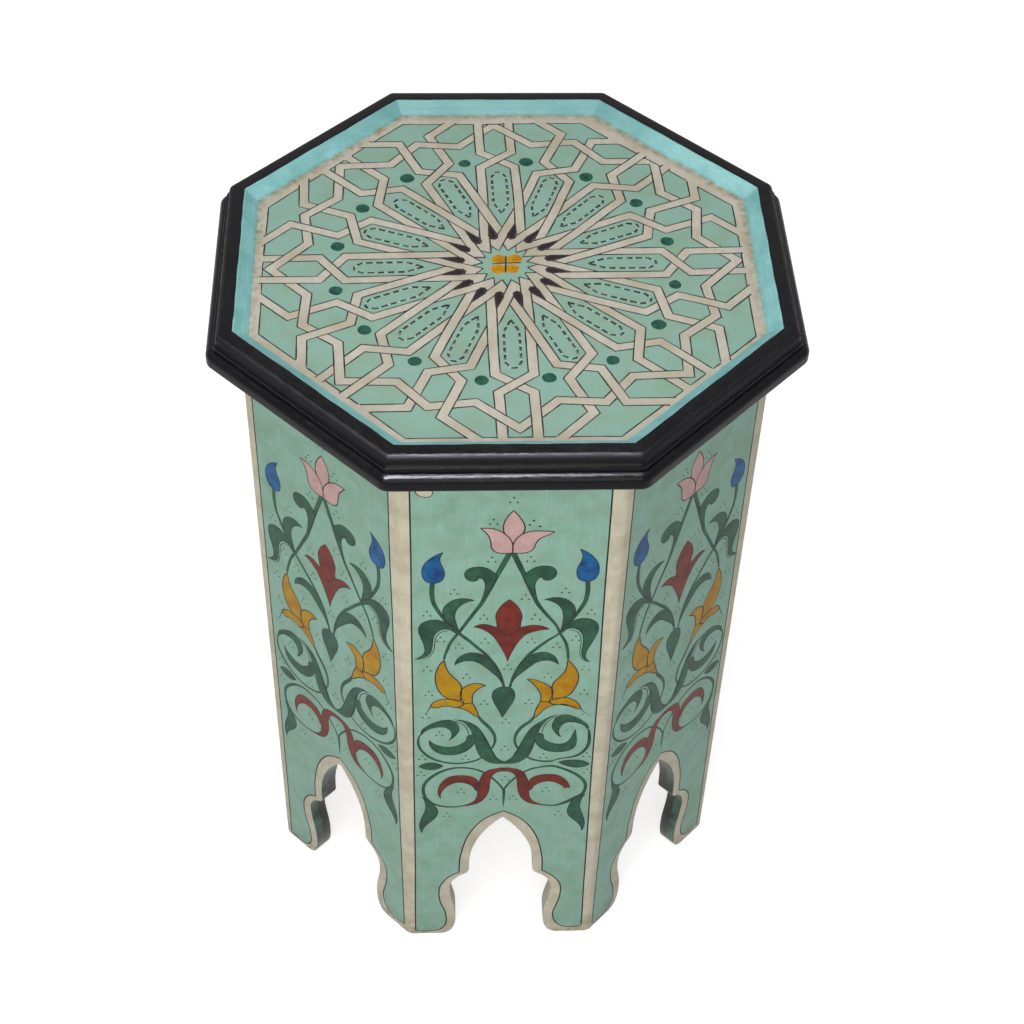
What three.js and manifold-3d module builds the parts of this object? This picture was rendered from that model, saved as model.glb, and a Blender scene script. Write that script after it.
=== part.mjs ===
// Octagonal painted stool: eight mitred side boards with arched feet, glued at blocked corners,
// carry a recessed top board that a mitred moulding frames.
// Lengths are millimetres, +Z is up, the front board faces -Y, and the origin is on the floor
// below the middle of the top.
import * as THREE from 'three';
import { mergeVertices } from 'three/addons/utils/BufferGeometryUtils.js';
import Module from 'manifold-3d';

const wasm = await Module();
wasm.setup();

// Driving dimensions of the whole stool
const overallHeight = 536;
const overallWidth = 374.6;
const sideBoardThickness = 15;
const arrisRadius = 6;
const fitGap = 0.3;
const cutOverrun = 5;
const mergeTolerance = 0.0001;

// Moulding height, depth of the tray it makes, and its seat on the ends of the side boards
const rimHeight = 22;
const recessDepth = 7.3;
const rimSeatWidth = 5.75;

// Moulding profile, from its inner edge out and from its top down
const lipWidth = 9.5;
const rimTopWidth = 7.3;
const shoulderRadius = 2.3;
const coveWidth = 1.5;
const coveHeight = 5;
const filletWidth = 1;
const bevelWidth = 3;
const bevelHeight = 3.8;
const beadRadius = 2.2;
const rimCornerRadius = 15;

// Arch between the feet of a side board, as half widths and heights above the floor
const floorHalfWidth = 44;
const toeHalfWidth = 33.3;
const toeHeight = 23;
const lobeHalfWidth = 38;
const lobeHeight = 62;
const shoulderHalfWidth = 27.5;
const shoulderHeight = 81;
const archHalfWidth = 23.5;
const cuspHeight = 87.5;
const springHeight = 95;
const archApexHeight = 154;

// Glue blocks in the inner corners
const blockLeg = 20;
const blockDepth = 8;
const blockFootHeight = 175;

// Square cleats that tie the top board to the side boards
const cleatSize = 18;
const cleatEndGap = 2;

// Wood screws through the cleats, and the wood left past their tips
const screwCover = 5;
const screwShankRadius = 2;
const screwHeadRadius = 3.9;
const screwHeadHeight = 2.4;
const screwTipLength = 4;
const screwTipRadius = 0.6;
const screwSlotWidth = 1.1;
const screwSlotDepth = 1.3;
const screwOffset = 24;

// Headless pins that hold the moulding to the edge of the top board
const pinRadius = 0.9;
const pinTipRadius = 0.4;
const pinTipLength = 2.5;
const pinInRim = 13;
const pinInBoard = 13;

// How finely curves are faceted
const arrisSteps = 2;
const cornerSteps = 3;
const profileSteps = 3;
const curveSteps = 4;
const archSteps = 7;
const roundSides = 10;

// Where the bends of outlines are pulled to, as shares of the stretch that each one shapes
const lipShares = [[0.38, 0.68], [0.72, 0.32], [0.88, 0.08]];
const coveShares = [[0.1, 0.3], [0.35, 0.65]];
const toePullShares = { floor: 0.35, side: 0.35 };
const swellPullShares = { below: 0.45, above: 0.6 };
const lobePullShares = { side: 0.42, topWidth: 0.62, topHeight: 0.79 };
const cuspPullShares = { width: 0.42, height: 0.2, side: 0.38 };

// Sizes that follow from the ones above
const sideNames = [
  'front', 'front_right', 'right', 'back_right', 'back', 'back_left', 'left', 'front_left',
];
const sideAngle = 2 * Math.PI / sideNames.length;
const mitreAngle = sideAngle / 2;
const quarterTurn = THREE.MathUtils.radToDeg(Math.PI / 2);
const rimWidth = lipWidth + rimTopWidth + shoulderRadius + coveWidth + filletWidth
  + bevelWidth + beadRadius;
const rimOuterApothem = overallWidth / 2;
const rimInnerApothem = rimOuterApothem - rimWidth;
const topApothem = rimInnerApothem - fitGap;
const bodyApothem = rimInnerApothem + rimSeatWidth;
const innerApothem = bodyApothem - sideBoardThickness;
const seatApothem = innerApothem - fitGap;
const undersideHeight = overallHeight - rimHeight;
const seatHeight = undersideHeight - fitGap;
const topBoardThickness = rimHeight - recessDepth;
const cleatHalfLength = seatApothem * Math.tan(mitreAngle) - blockLeg - cleatEndGap;
const cleatMiddleHeight = seatHeight - cleatSize / 2;
const screwBite = Math.min(topBoardThickness, sideBoardThickness) - screwCover;
const screwLength = cleatSize + fitGap + screwBite;
const pinLength = pinInRim + fitGap + pinInBoard;
const pinHeight = undersideHeight + topBoardThickness / 2;

// Finishes, by the kind of piece that carries them
const finishes = {
  topBoard: { color: 0x9cc4b2, roughness: 0.4, metalness: 0 },
  rim: { color: 0x1f1d21, roughness: 0.25, metalness: 0 },
  sideBoard: { color: 0x93c2ae, roughness: 0.55, metalness: 0 },
  bareWood: { color: 0xb98f5f, roughness: 0.8, metalness: 0 },
  steel: { color: 0x9c9a94, roughness: 0.35, metalness: 1 },
};

function mix(from, to, share) {
  return from + (to - from) * share;
}

// Closed geometry as a solid that can be joined and cut
function toSolid(geometry) {
  const bare = geometry.clone();
  bare.deleteAttribute('normal');
  bare.deleteAttribute('uv');
  const merged = mergeVertices(bare, mergeTolerance);
  const corners = merged.index.array;
  const triangles = [];
  for (let i = 0; i < corners.length; i += 3) {
    const [a, b, c] = corners.slice(i, i + 3);
    if (a !== b && b !== c && c !== a) triangles.push(a, b, c);
  }
  return new wasm.Manifold(new wasm.Mesh({
    numProp: 3,
    vertProperties: Float32Array.from(merged.getAttribute('position').array),
    triVerts: Uint32Array.from(triangles),
  }));
}

function toGeometry(solid) {
  const mesh = solid.getMesh();
  const geometry = new THREE.BufferGeometry();
  geometry.setAttribute('position', new THREE.BufferAttribute(mesh.vertProperties, 3));
  geometry.setIndex(new THREE.BufferAttribute(mesh.triVerts, 1));
  geometry.computeVertexNormals();
  return geometry;
}

// A point of a side's plan: a distance across the side and one out from the stool's middle
function planPoint(across, out) {
  return new THREE.Vector2(across, -out);
}

function uprightPrism(planPoints, fromHeight, toHeight) {
  const shape = new THREE.Shape(planPoints);
  const settings = { depth: toHeight - fromHeight, bevelEnabled: false };
  return new THREE.ExtrudeGeometry(shape, settings).translate(0, 0, fromHeight);
}

// The wedge of the plan that belongs to one side, half a glue line clear of its neighbours
function sideWedge(reach, fromHeight, toHeight) {
  const apex = fitGap / 2 / Math.sin(mitreAngle);
  const halfWidth = (reach - apex) * Math.tan(mitreAngle);
  const points = [planPoint(0, apex), planPoint(-halfWidth, reach), planPoint(halfWidth, reach)];
  return toSolid(uprightPrism(points, fromHeight, toHeight));
}

// Plan of a board between two distances out, with its outer corners rounded at the mitres
function roundedPlan(inner, outer, radius, steps) {
  const halfInner = inner * Math.tan(mitreAngle);
  const centreOut = outer - radius;
  const centreAcross = centreOut * Math.tan(mitreAngle);
  const corner = [];
  for (let i = 0; i <= steps; i += 1) {
    const angle = mitreAngle * (1 - i / steps);
    corner.push([centreAcross + radius * Math.sin(angle), centreOut + radius * Math.cos(angle)]);
  }
  const left = corner.map(([across, out]) => planPoint(-across, out));
  const right = corner.map(([across, out]) => planPoint(across, out)).reverse();
  return [planPoint(-halfInner, inner), ...left, ...right, planPoint(halfInner, inner)];
}

// Right half of the arch, from the floor up to the apex, in bends that meet smoothly
function halfArch() {
  const path = new THREE.Path();
  path.moveTo(floorHalfWidth, 0);
  path.bezierCurveTo(
    mix(toeHalfWidth, floorHalfWidth, toePullShares.floor), 0,
    toeHalfWidth, toeHeight * toePullShares.side,
    toeHalfWidth, toeHeight,
  );
  path.bezierCurveTo(
    toeHalfWidth, mix(toeHeight, lobeHeight, swellPullShares.below),
    lobeHalfWidth, mix(toeHeight, lobeHeight, swellPullShares.above),
    lobeHalfWidth, lobeHeight,
  );
  path.bezierCurveTo(
    lobeHalfWidth, mix(lobeHeight, shoulderHeight, lobePullShares.side),
    mix(shoulderHalfWidth, lobeHalfWidth, lobePullShares.topWidth),
    mix(lobeHeight, shoulderHeight, lobePullShares.topHeight),
    shoulderHalfWidth, shoulderHeight,
  );
  path.bezierCurveTo(
    mix(archHalfWidth, shoulderHalfWidth, cuspPullShares.width),
    mix(shoulderHeight, cuspHeight, cuspPullShares.height),
    archHalfWidth, mix(shoulderHeight, cuspHeight, cuspPullShares.side),
    archHalfWidth, cuspHeight,
  );
  const points = path.getPoints(curveSteps);
  const rise = archApexHeight - springHeight;
  const radius = (archHalfWidth ** 2 + rise ** 2) / (2 * archHalfWidth);
  const sweep = Math.asin(rise / radius);
  for (let i = 0; i < archSteps; i += 1) {
    const angle = sweep * i / archSteps;
    const across = archHalfWidth - radius + radius * Math.cos(angle);
    points.push(new THREE.Vector2(across, springHeight + radius * Math.sin(angle)));
  }
  points.push(new THREE.Vector2(0, archApexHeight));
  return points;
}

// The arch as a cutter that runs through a side board and down past the floor
function archCutter() {
  const right = halfArch();
  const left = right.slice(0, -1).map((point) => new THREE.Vector2(-point.x, point.y)).reverse();
  const floorRight = new THREE.Vector2(floorHalfWidth, -cutOverrun);
  const floorLeft = new THREE.Vector2(-floorHalfWidth, -cutOverrun);
  const shape = new THREE.Shape([floorRight, ...right, ...left, floorLeft]);
  const depth = sideBoardThickness + 2 * cutOverrun;
  const geometry = new THREE.ExtrudeGeometry(shape, { depth, bevelEnabled: false });
  geometry.rotateX(Math.PI / 2);
  return toSolid(geometry.translate(0, cutOverrun - innerApothem, 0));
}

// Moulding profile as points of a distance out from its inner face and one down from its top
function rimProfile() {
  const points = [[0, rimHeight], [0, recessDepth]];
  for (const [out, down] of lipShares) {
    points.push([lipWidth * out, recessDepth * down]);
  }
  points.push([lipWidth, 0]);
  const shoulderOut = lipWidth + rimTopWidth;
  for (let i = 0; i <= profileSteps; i += 1) {
    const angle = Math.PI / 2 * i / profileSteps;
    points.push([
      shoulderOut + shoulderRadius * Math.sin(angle),
      shoulderRadius * (1 - Math.cos(angle)),
    ]);
  }
  const coveOut = shoulderOut + shoulderRadius;
  for (const [out, down] of coveShares) {
    points.push([coveOut + coveWidth * out, shoulderRadius + coveHeight * down]);
  }
  const filletDown = shoulderRadius + coveHeight;
  points.push([coveOut + coveWidth, filletDown]);
  points.push([coveOut + coveWidth + filletWidth, filletDown]);
  const beadOut = coveOut + coveWidth + filletWidth + bevelWidth;
  const beadDown = filletDown + bevelHeight;
  for (let i = 0; i <= profileSteps; i += 1) {
    const angle = Math.PI / 2 * i / profileSteps;
    points.push([beadOut + beadRadius * Math.sin(angle), beadDown + beadRadius * (1 - Math.cos(angle))]);
  }
  points.push([beadOut + beadRadius, rimHeight]);
  return points;
}

// Turned solid about +Z from points of radius and height
function turned(profile) {
  const points = profile.map(([radius, height]) => new THREE.Vector2(radius, height));
  return toSolid(new THREE.LatheGeometry(points, roundSides).rotateX(Math.PI / 2));
}

// A screw with the face of its head at zero and its tip up, or with clearance the hole it needs
function screwBody(clearance) {
  return turned([
    [0, -clearance],
    [screwHeadRadius + clearance, -clearance],
    [screwHeadRadius + clearance, 0],
    [screwShankRadius + clearance, screwHeadHeight],
    [screwShankRadius + clearance, screwLength - screwTipLength],
    [screwTipRadius + clearance, screwLength + clearance],
    [0, screwLength + clearance],
  ]);
}

function pinBody(clearance) {
  return turned([
    [0, -clearance],
    [pinRadius + clearance, -clearance],
    [pinRadius + clearance, pinLength - pinTipLength],
    [pinTipRadius + clearance, pinLength + clearance],
    [0, pinLength + clearance],
  ]);
}

// Fasteners in the frame of a side, whose face looks along -Y
function topScrewPlace(body) {
  return body.translate([screwOffset, cleatSize / 2 - seatApothem, seatHeight - cleatSize]);
}

function sideScrewPlace(body) {
  return body.rotate([quarterTurn, 0, 0]).translate([-screwOffset, cleatSize - seatApothem, cleatMiddleHeight]);
}

function pinPlace(body) {
  return body.rotate([-quarterTurn, 0, 0]).translate([0, -rimInnerApothem - pinInRim, pinHeight]);
}

function screw() {
  const slot = new THREE.BoxGeometry(2 * screwHeadRadius, screwSlotWidth, 2 * screwSlotDepth);
  return screwBody(0).subtract(toSolid(slot));
}

function sideBoard() {
  const plan = roundedPlan(innerApothem, bodyApothem, arrisRadius, arrisSteps);
  return toSolid(uprightPrism(plan, 0, seatHeight))
    .intersect(sideWedge(bodyApothem + cutOverrun, -cutOverrun, seatHeight + cutOverrun))
    .subtract(archCutter())
    .subtract(sideScrewPlace(screwBody(fitGap)));
}

function rim() {
  const halfLength = rimOuterApothem * Math.tan(mitreAngle);
  const shape = new THREE.Shape(rimProfile().map(([out, down]) => (
    new THREE.Vector2(rimInnerApothem + out, overallHeight - down)
  )));
  const settings = { depth: 2 * halfLength, bevelEnabled: false };
  const bar = new THREE.ExtrudeGeometry(shape, settings).translate(0, 0, -halfLength);
  bar.rotateX(Math.PI / 2).rotateZ(-Math.PI / 2);
  const plan = roundedPlan(rimInnerApothem - cutOverrun, rimOuterApothem, rimCornerRadius, cornerSteps);
  return toSolid(bar)
    .intersect(toSolid(uprightPrism(plan, undersideHeight - cutOverrun, overallHeight + cutOverrun)))
    .intersect(sideWedge(
      rimOuterApothem + cutOverrun, undersideHeight - cutOverrun, overallHeight + cutOverrun,
    ))
    .subtract(pinPlace(pinBody(fitGap)));
}

function topBoard() {
  const corner = topApothem / Math.cos(mitreAngle);
  const points = sideNames.map((name, i) => {
    const angle = sideAngle * i + mitreAngle;
    return planPoint(corner * Math.sin(angle), corner * Math.cos(angle));
  });
  let solid = toSolid(uprightPrism(points, undersideHeight, undersideHeight + topBoardThickness));
  const screwHole = topScrewPlace(screwBody(fitGap));
  const pinHole = pinPlace(pinBody(fitGap));
  const sideTurn = THREE.MathUtils.radToDeg(sideAngle);
  sideNames.forEach((name, i) => {
    solid = solid.subtract(screwHole.rotate([0, 0, sideTurn * i]));
    solid = solid.subtract(pinHole.rotate([0, 0, sideTurn * i]));
  });
  return solid;
}

function cleat() {
  const box = new THREE.BoxGeometry(2 * cleatHalfLength, cleatSize, cleatSize);
  return toSolid(box.translate(0, cleatSize / 2 - seatApothem, cleatMiddleHeight))
    .subtract(topScrewPlace(screwBody(fitGap)))
    .subtract(sideScrewPlace(screwBody(fitGap)));
}

// Block in the frame of a corner, whose arris looks along -Y
function glueBlock() {
  const across = Math.cos(mitreAngle);
  const out = Math.sin(mitreAngle);
  const tip = seatApothem / Math.cos(mitreAngle);
  const legEnd = [blockLeg * across, tip - blockLeg * out];
  const faceEnd = [legEnd[0] - blockDepth * out, legEnd[1] - blockDepth * across];
  return toSolid(uprightPrism([
    planPoint(0, tip),
    planPoint(...legEnd),
    planPoint(...faceEnd),
    planPoint(-faceEnd[0], faceEnd[1]),
    planPoint(-legEnd[0], legEnd[1]),
  ], blockFootHeight, seatHeight));
}

function piece(name, solid, finish) {
  const mesh = new THREE.Mesh(toGeometry(solid), new THREE.MeshStandardMaterial(finish));
  mesh.name = name;
  return mesh;
}

const stool = new THREE.Group();
stool.add(piece('top_board', topBoard(), finishes.topBoard));

sideNames.forEach((name, i) => {
  const side = new THREE.Group();
  side.rotation.z = sideAngle * i;
  side.add(piece(`side_board_${name}`, sideBoard(), finishes.sideBoard));
  side.add(piece(`rim_${name}`, rim(), finishes.rim));
  side.add(piece(`cleat_${name}`, cleat(), finishes.bareWood));
  side.add(piece(`top_screw_${name}`, topScrewPlace(screw()), finishes.steel));
  side.add(piece(`side_screw_${name}`, sideScrewPlace(screw()), finishes.steel));
  side.add(piece(`rim_pin_${name}`, pinPlace(pinBody(0)), finishes.steel));
  const corner = new THREE.Group();
  corner.rotation.z = mitreAngle;
  corner.add(piece(`glue_block_${i + 1}`, glueBlock(), finishes.bareWood));
  side.add(corner);
  stool.add(side);
});

export default stool;
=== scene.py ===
# %% [markdown]
# # A painted eight-sided stool
# The real stool is a kursi: eight upright boards, a sunk top, a moulding round it, and paint over all of it.
# The CAD frame already holds every piece at its size and place, so this lesson is about looks.
# It dresses the frame in order: camera, light, paints, boards, moulding, ornament, and the wood inside.

# %% Load the frame
import math
import random

import bpy
from mathutils import Matrix, Vector


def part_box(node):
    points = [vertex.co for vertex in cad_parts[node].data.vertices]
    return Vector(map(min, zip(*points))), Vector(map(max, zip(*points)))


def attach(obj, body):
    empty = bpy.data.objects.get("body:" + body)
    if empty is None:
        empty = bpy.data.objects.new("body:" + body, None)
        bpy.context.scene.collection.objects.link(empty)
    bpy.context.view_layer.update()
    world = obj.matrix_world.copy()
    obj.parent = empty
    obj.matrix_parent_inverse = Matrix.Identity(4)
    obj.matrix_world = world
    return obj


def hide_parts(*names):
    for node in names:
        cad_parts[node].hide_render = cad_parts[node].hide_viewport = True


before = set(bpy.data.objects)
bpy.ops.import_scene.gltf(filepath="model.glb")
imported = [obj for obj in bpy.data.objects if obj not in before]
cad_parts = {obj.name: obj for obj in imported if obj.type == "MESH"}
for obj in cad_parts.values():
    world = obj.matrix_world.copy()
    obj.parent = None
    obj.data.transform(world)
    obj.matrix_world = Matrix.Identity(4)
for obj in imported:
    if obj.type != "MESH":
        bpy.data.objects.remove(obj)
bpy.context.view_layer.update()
print("CAD nodes:", len(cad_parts))

# %% [markdown]
# The stool's main sizes are read from the frame, so the looks stay where the wood is. Blender works in
# metres. The arch, the moulding's profile and the paintings are written in millimetres, as a maker would say
# them, and MM turns one into the other.

# %% Read the stool's measures
MM = 0.001
SIDES = ["front", "front_right", "right", "back_right", "back", "back_left", "left", "front_left"]
EIGHTH = math.tau / len(SIDES)
HALF_EIGHTH = EIGHTH / 2
MITRE = math.tan(HALF_EIGHTH)

board_low, board_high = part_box("side_board_front")
rim_low, rim_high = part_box("rim_front")
FACE = -board_low.y
BOARD_THICKNESS = board_high.y - board_low.y
BOARD_HEIGHT = board_high.z
RIM_OUTER = -rim_low.y
RIM_INNER = -rim_high.y
RIM_UNDERSIDE = rim_low.z
RIM_TOP = rim_high.z
TOP_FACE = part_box("top_board")[1].z
for label, length in {"painted face": FACE, "rim": RIM_OUTER, "top face": TOP_FACE}.items():
    print(f"{label}: {length / MM:.1f} mm")

# %% [markdown]
# The camera stands where the photographer stood: a little left of the middle, looking down at 47 degrees,
# with the frame turned by two degrees. Its place is given as angles and a distance from a point inside the
# stool, because those are the numbers one would measure, and the matrix is built from them.

# %% Camera
AZIMUTH, ELEVATION, ROLL = map(math.radians, (-3.357, 46.66, 1.90))
CAMERA_DISTANCE = 1476.8 * MM
CAMERA_AIM = Vector((9.4, 0, 297.7)) * MM
LENS = 71.7


def add(name, data):
    """A new object in the scene, with this data."""
    item = bpy.data.objects.new(name, data)
    bpy.context.scene.collection.objects.link(item)
    return item


back = Vector((
    math.sin(AZIMUTH) * math.cos(ELEVATION),
    -math.cos(AZIMUTH) * math.cos(ELEVATION),
    math.sin(ELEVATION),
))
right = (-back).cross(Vector((0, 0, 1))).normalized()
up = back.cross(right)
camera_right = math.cos(ROLL) * right + math.sin(ROLL) * up
camera_up = math.cos(ROLL) * up - math.sin(ROLL) * right
axes = Matrix((camera_right, camera_up, back)).transposed().to_4x4()
camera = add("camera", bpy.data.cameras.new("camera"))
camera.data.lens = LENS
camera.matrix_world = Matrix.Translation(CAMERA_AIM + back * CAMERA_DISTANCE) @ axes
bpy.context.scene.camera = camera
print("camera at", [round(x, 3) for x in camera.location])

# %% [markdown]
# Materials are built from nodes, and small helpers keep that short. One turns a colour picked in a paint
# program into the linear values that Blender mixes, and one adds a node with its settings and its links.
# Two more hold what the materials share: colours laid over each other, and the surface at the end.

# %% Helpers for materials
def colour(text):
    """An sRGB hex colour as linear red, green, blue and alpha."""
    shares = [int(text[i:i + 2], 16) / 255 for i in (1, 3, 5)]
    return [s / 12.92 if s <= 0.04045 else ((s + 0.055) / 1.055) ** 2.4 for s in shares] + [1.0]


def per(size):
    """The scale of a pattern whose marks are so many millimetres wide."""
    return 1 / (size * MM)


def node(tree, kind, inputs=None, out=None, **settings):
    """Add a node and return its output: the one named by out, or else the first in use.

    inputs gives its sockets a value, or a link from another node's output.
    """
    made = tree.nodes.new("ShaderNode" + kind)
    for name, value in settings.items():
        setattr(made, name, value)
    for socket, value in (inputs or {}).items():
        if isinstance(value, bpy.types.NodeSocket):
            tree.links.new(value, made.inputs[socket])
        else:
            made.inputs[socket].default_value = value
    if out:
        return made.outputs[out]
    return next((output for output in made.outputs if output.enabled), None)


def new_material(name):
    """An empty node material, its tree, and each point's place on the stool."""
    material = bpy.data.materials.new(name)
    material.use_nodes = True
    tree = material.node_tree
    tree.nodes.clear()
    return material, tree, node(tree, "TexCoord", out="Object")


def layered(tree, ground, layers):
    """A colour with others laid over it in turn, each through its own mask."""
    tint = colour(ground)
    for mask, over in layers:
        tint = node(tree, "Mix", {0: mask, 6: tint, 7: colour(over)}, data_type="RGBA")
    return tint


def surface(tree, tint, shine, relief, depth, strength, **more):
    """End a tree with its tint, its roughness, and a relief that is so many millimetres deep."""
    bump = node(tree, "Bump", {"Strength": strength, "Distance": depth * MM, "Height": relief})
    inputs = {"Base Color": tint, "Roughness": shine, "Normal": bump}
    inputs.update({name.replace("_", " "): value for name, value in more.items()})
    node(tree, "OutputMaterial", {"Surface": node(tree, "BsdfPrincipled", inputs)})


print("mint in linear light:", [round(x, 3) for x in colour("#92B5A5")])

# %% [markdown]
# The light is that of a plain product photo: an even white room, a soft panel overhead, and a wide low one
# from the front left. Black lacquer shows almost nothing but lamps, so a third strip stands above the front
# for the glints alone: it lights no matt surface. The room is white to the camera and to glossy
# reflections, and dimmer to everything else, so that the lamps bring out the shape.

# %% Light and floor
ROOM_STRENGTH = 0.38
FLOOR_SIZE = 12
FLOOR_GLOW = 0.74


def seen_directly(tree):
    """1 where the camera or a glossy reflection looks, and 0 for the light that falls on things."""
    looks = [node(tree, "LightPath", out=name) for name in ("Is Camera Ray", "Is Glossy Ray")]
    return node(tree, "Math", {0: looks[0], 1: looks[1]}, operation="MAXIMUM")


world = bpy.data.worlds.new("white_room")
world.use_nodes = True
bpy.context.scene.world = world
tree = world.node_tree
tree.nodes.clear()
through = node(tree, "LightPath", out="Is Transmission Ray")
seen = node(tree, "Math", {0: seen_directly(tree), 1: through}, operation="MAXIMUM")
room = node(tree, "Background", {"Color": colour("#F4F6F7"), "Strength": ROOM_STRENGTH})
paper = node(tree, "Background", {"Color": (1, 1, 1, 1), "Strength": 1.0})
node(tree, "OutputWorld", {"Surface": node(tree, "MixShader", {0: seen, 1: room, 2: paper})})


def softbox(name, place, aim, width, height, power, tint):
    """A soft rectangular lamp at place that faces aim."""
    lamp = bpy.data.lights.new(name, "AREA")
    lamp.shape = "RECTANGLE"
    lamp.size, lamp.size_y = width, height
    lamp.energy = power
    lamp.color = colour(tint)[:3]
    holder = add(name, lamp)
    turn = (Vector(aim) - Vector(place)).to_track_quat("-Z", "Y").to_matrix().to_4x4()
    holder.matrix_world = Matrix.Translation(place) @ turn
    return holder


softbox("overhead_panel", (-0.14, -0.45, 1.95), (-0.05, -0.1, 0.5), 0.42, 0.50, 10.0, "#F6F4FF")
softbox("front_panel", (-0.24, -1.16, 0.90), (0, 0, 0.38), 1.2, 0.8, 10.0, "#FFFDF8")
glint = softbox("glint_strip", (-0.27, -0.50, 1.70), (-0.05, -0.15, 0.5), 0.54, 1.50, 185.0, "#F1F0FF")
glint.data.shape = "ELLIPSE"
glint.visible_diffuse = False
bpy.context.scene.view_settings.view_transform = "Standard"

bpy.ops.object.select_all(action="DESELECT")
bpy.ops.mesh.primitive_plane_add(size=FLOOR_SIZE, location=(0, 0, 0))
floor = bpy.context.object
floor.name = "floor"
material, tree, _ = new_material("matt_white_paper_sweep")
matt = node(tree, "BsdfDiffuse", {"Color": colour("#D8D8D8")})
glow = node(tree, "Emission", {"Color": (1, 1, 1, 1), "Strength": FLOOR_GLOW})
dim = node(tree, "BsdfDiffuse", {"Color": colour("#909090")})
bright = node(tree, "AddShader", {0: matt, 1: glow})
sweep = node(tree, "MixShader", {0: seen_directly(tree), 1: dim, 2: bright})
node(tree, "OutputMaterial", {"Surface": sweep})
floor.data.materials.append(material)
print("lamps:", len(bpy.data.lights))

# %% [markdown]
# All the colours on this stool are brushed by hand, and they share one look: fine bristle marks along the
# stroke, soft clouds where the coat is thicker, and small flecks where it is thin. So one function makes
# every paint. Its marks are given in millimetres along X, Y and Z, so a stroke that runs down a board is
# long in Z, and it takes overlays: each a colour and a mask, for dirt, for rubbed paint, and for painted
# shade.

# %% Brushed paint
FLECK_SIZE = 6


def brushed_paint(name, main, light, dark, fleck, marks, roughness, gloss=0.14, cloud=26, stains_and_shade=()):
    """Opaque paint laid with a brush. marks and cloud are the sizes of its marks in millimetres."""
    material, tree, place = new_material(name)
    along = node(tree, "Mapping", {"Vector": place, "Scale": [per(size) for size in marks]})
    bristles = node(tree, "TexNoise", {"Vector": along, "Scale": 1.0, "Detail": 4.0, "Roughness": 0.62})
    clouds = node(tree, "TexNoise", {"Vector": place, "Scale": per(cloud), "Detail": 5.0})
    flecks = node(tree, "TexNoise", {
        "Vector": place, "Scale": per(FLECK_SIZE), "Detail": 6.0, "Roughness": 0.68,
    })
    thin = node(tree, "MapRange", {"Value": bristles, "From Min": 0.36, "From Max": 0.70})
    deep = node(tree, "MapRange", {"Value": clouds, "From Min": 0.42, "From Max": 0.68})
    bare = node(tree, "MapRange", {"Value": flecks, "From Min": 0.5, "From Max": 0.70, "To Max": 0.6})
    layers = [(thin, light), (deep, dark), (bare, fleck)]
    # Overlays: stains, dirt and rubbed paint, and painted shade at the lip's foot and on the back members.
    layers += [(mask(tree, place), overlay) for overlay, mask in stains_and_shade]
    shine = node(tree, "MapRange", {
        "Value": bristles, "To Min": roughness - 0.08, "To Max": roughness + 0.12,
    })
    surface(tree, layered(tree, main, layers), shine, bristles, 0.05, 0.6, Specular_IOR_Level=gloss)
    return material


DOWN_THE_BOARD = (1.6, 1.6, 40)
ALONG_THE_TOP = (2.6, 17, 4)
DABBED = (2.2, 2.2, 5)
print("bristle marks on a board are", DOWN_THE_BOARD[0], "mm wide")

# %% [markdown]
# Wear, dirt and painted shade follow the shape. A board keeps its own coordinates in an attribute called
# board, measured before it is turned to its side, so one mask finds the arris and the foot on all eight. On
# the top, the distance to the moulding is an octagon's: the largest of four measures, each across one pair
# of sides. The foot of the lip gets dust and painted shade, and the members at the back get painted shade.

# %% Masks for wear, dirt and painted shade
ARRIS_REACH = 67 * MM
SCUFF_HEIGHT = 26 * MM
EDGE_COAT_DEPTH = 7.5 * MM
LIP_FOOT = 160 * MM


def speckle(tree, place, size, low, high):
    """Hard-edged random patches of a size in millimetres, as 0 or 1 with a soft border."""
    grain = node(tree, "TexNoise", {"Vector": place, "Scale": per(size), "Detail": 5.0, "Roughness": 0.7})
    return node(tree, "MapRange", {"Value": grain, "From Min": low, "From Max": high})


def rubbed_arris(tree, place):
    """Paint rubbed thin along a board's long outer corners."""
    board = node(tree, "Attribute", out="Vector", attribute_name="board")
    across = node(tree, "SeparateXYZ", {0: board}, out="X")
    reach = node(tree, "Math", {0: across}, operation="ABSOLUTE")
    edge = node(tree, "MapRange", {
        "Value": reach, "From Min": ARRIS_REACH, "From Max": ARRIS_REACH + 2 * MM, "To Max": 0.5,
    })
    patches = speckle(tree, place, 14, 0.60, 0.70)
    return node(tree, "Math", {0: edge, 1: patches}, operation="MULTIPLY")


def scuffed_foot(tree, place):
    """Floor dirt on the lowest part of a foot."""
    height = node(tree, "SeparateXYZ", {0: place}, out="Z")
    low = node(tree, "MapRange", {
        "Value": height, "From Min": SCUFF_HEIGHT, "From Max": 0.0, "To Max": 0.75,
    })
    patches = speckle(tree, place, 7, 0.42, 0.62)
    return node(tree, "Math", {0: low, 1: patches}, operation="MULTIPLY")


def behind_the_face(tree, place):
    """The back part of a board's cut edge, which the green never reached."""
    board = node(tree, "Attribute", out="Vector", attribute_name="board")
    depth = node(tree, "SeparateXYZ", {0: board}, out="Y")
    ragged = node(tree, "TexNoise", {"Vector": place, "Scale": per(9), "Detail": 4.0})
    ragged = node(tree, "MapRange", {"Value": ragged, "To Min": -4 * MM, "To Max": 4 * MM})
    depth = node(tree, "Math", {0: depth, 1: ragged})
    border = EDGE_COAT_DEPTH - FACE
    return node(tree, "MapRange", {
        "Value": depth, "From Min": border - 1 * MM, "From Max": border + 1 * MM, "To Max": 0.9,
    })


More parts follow.
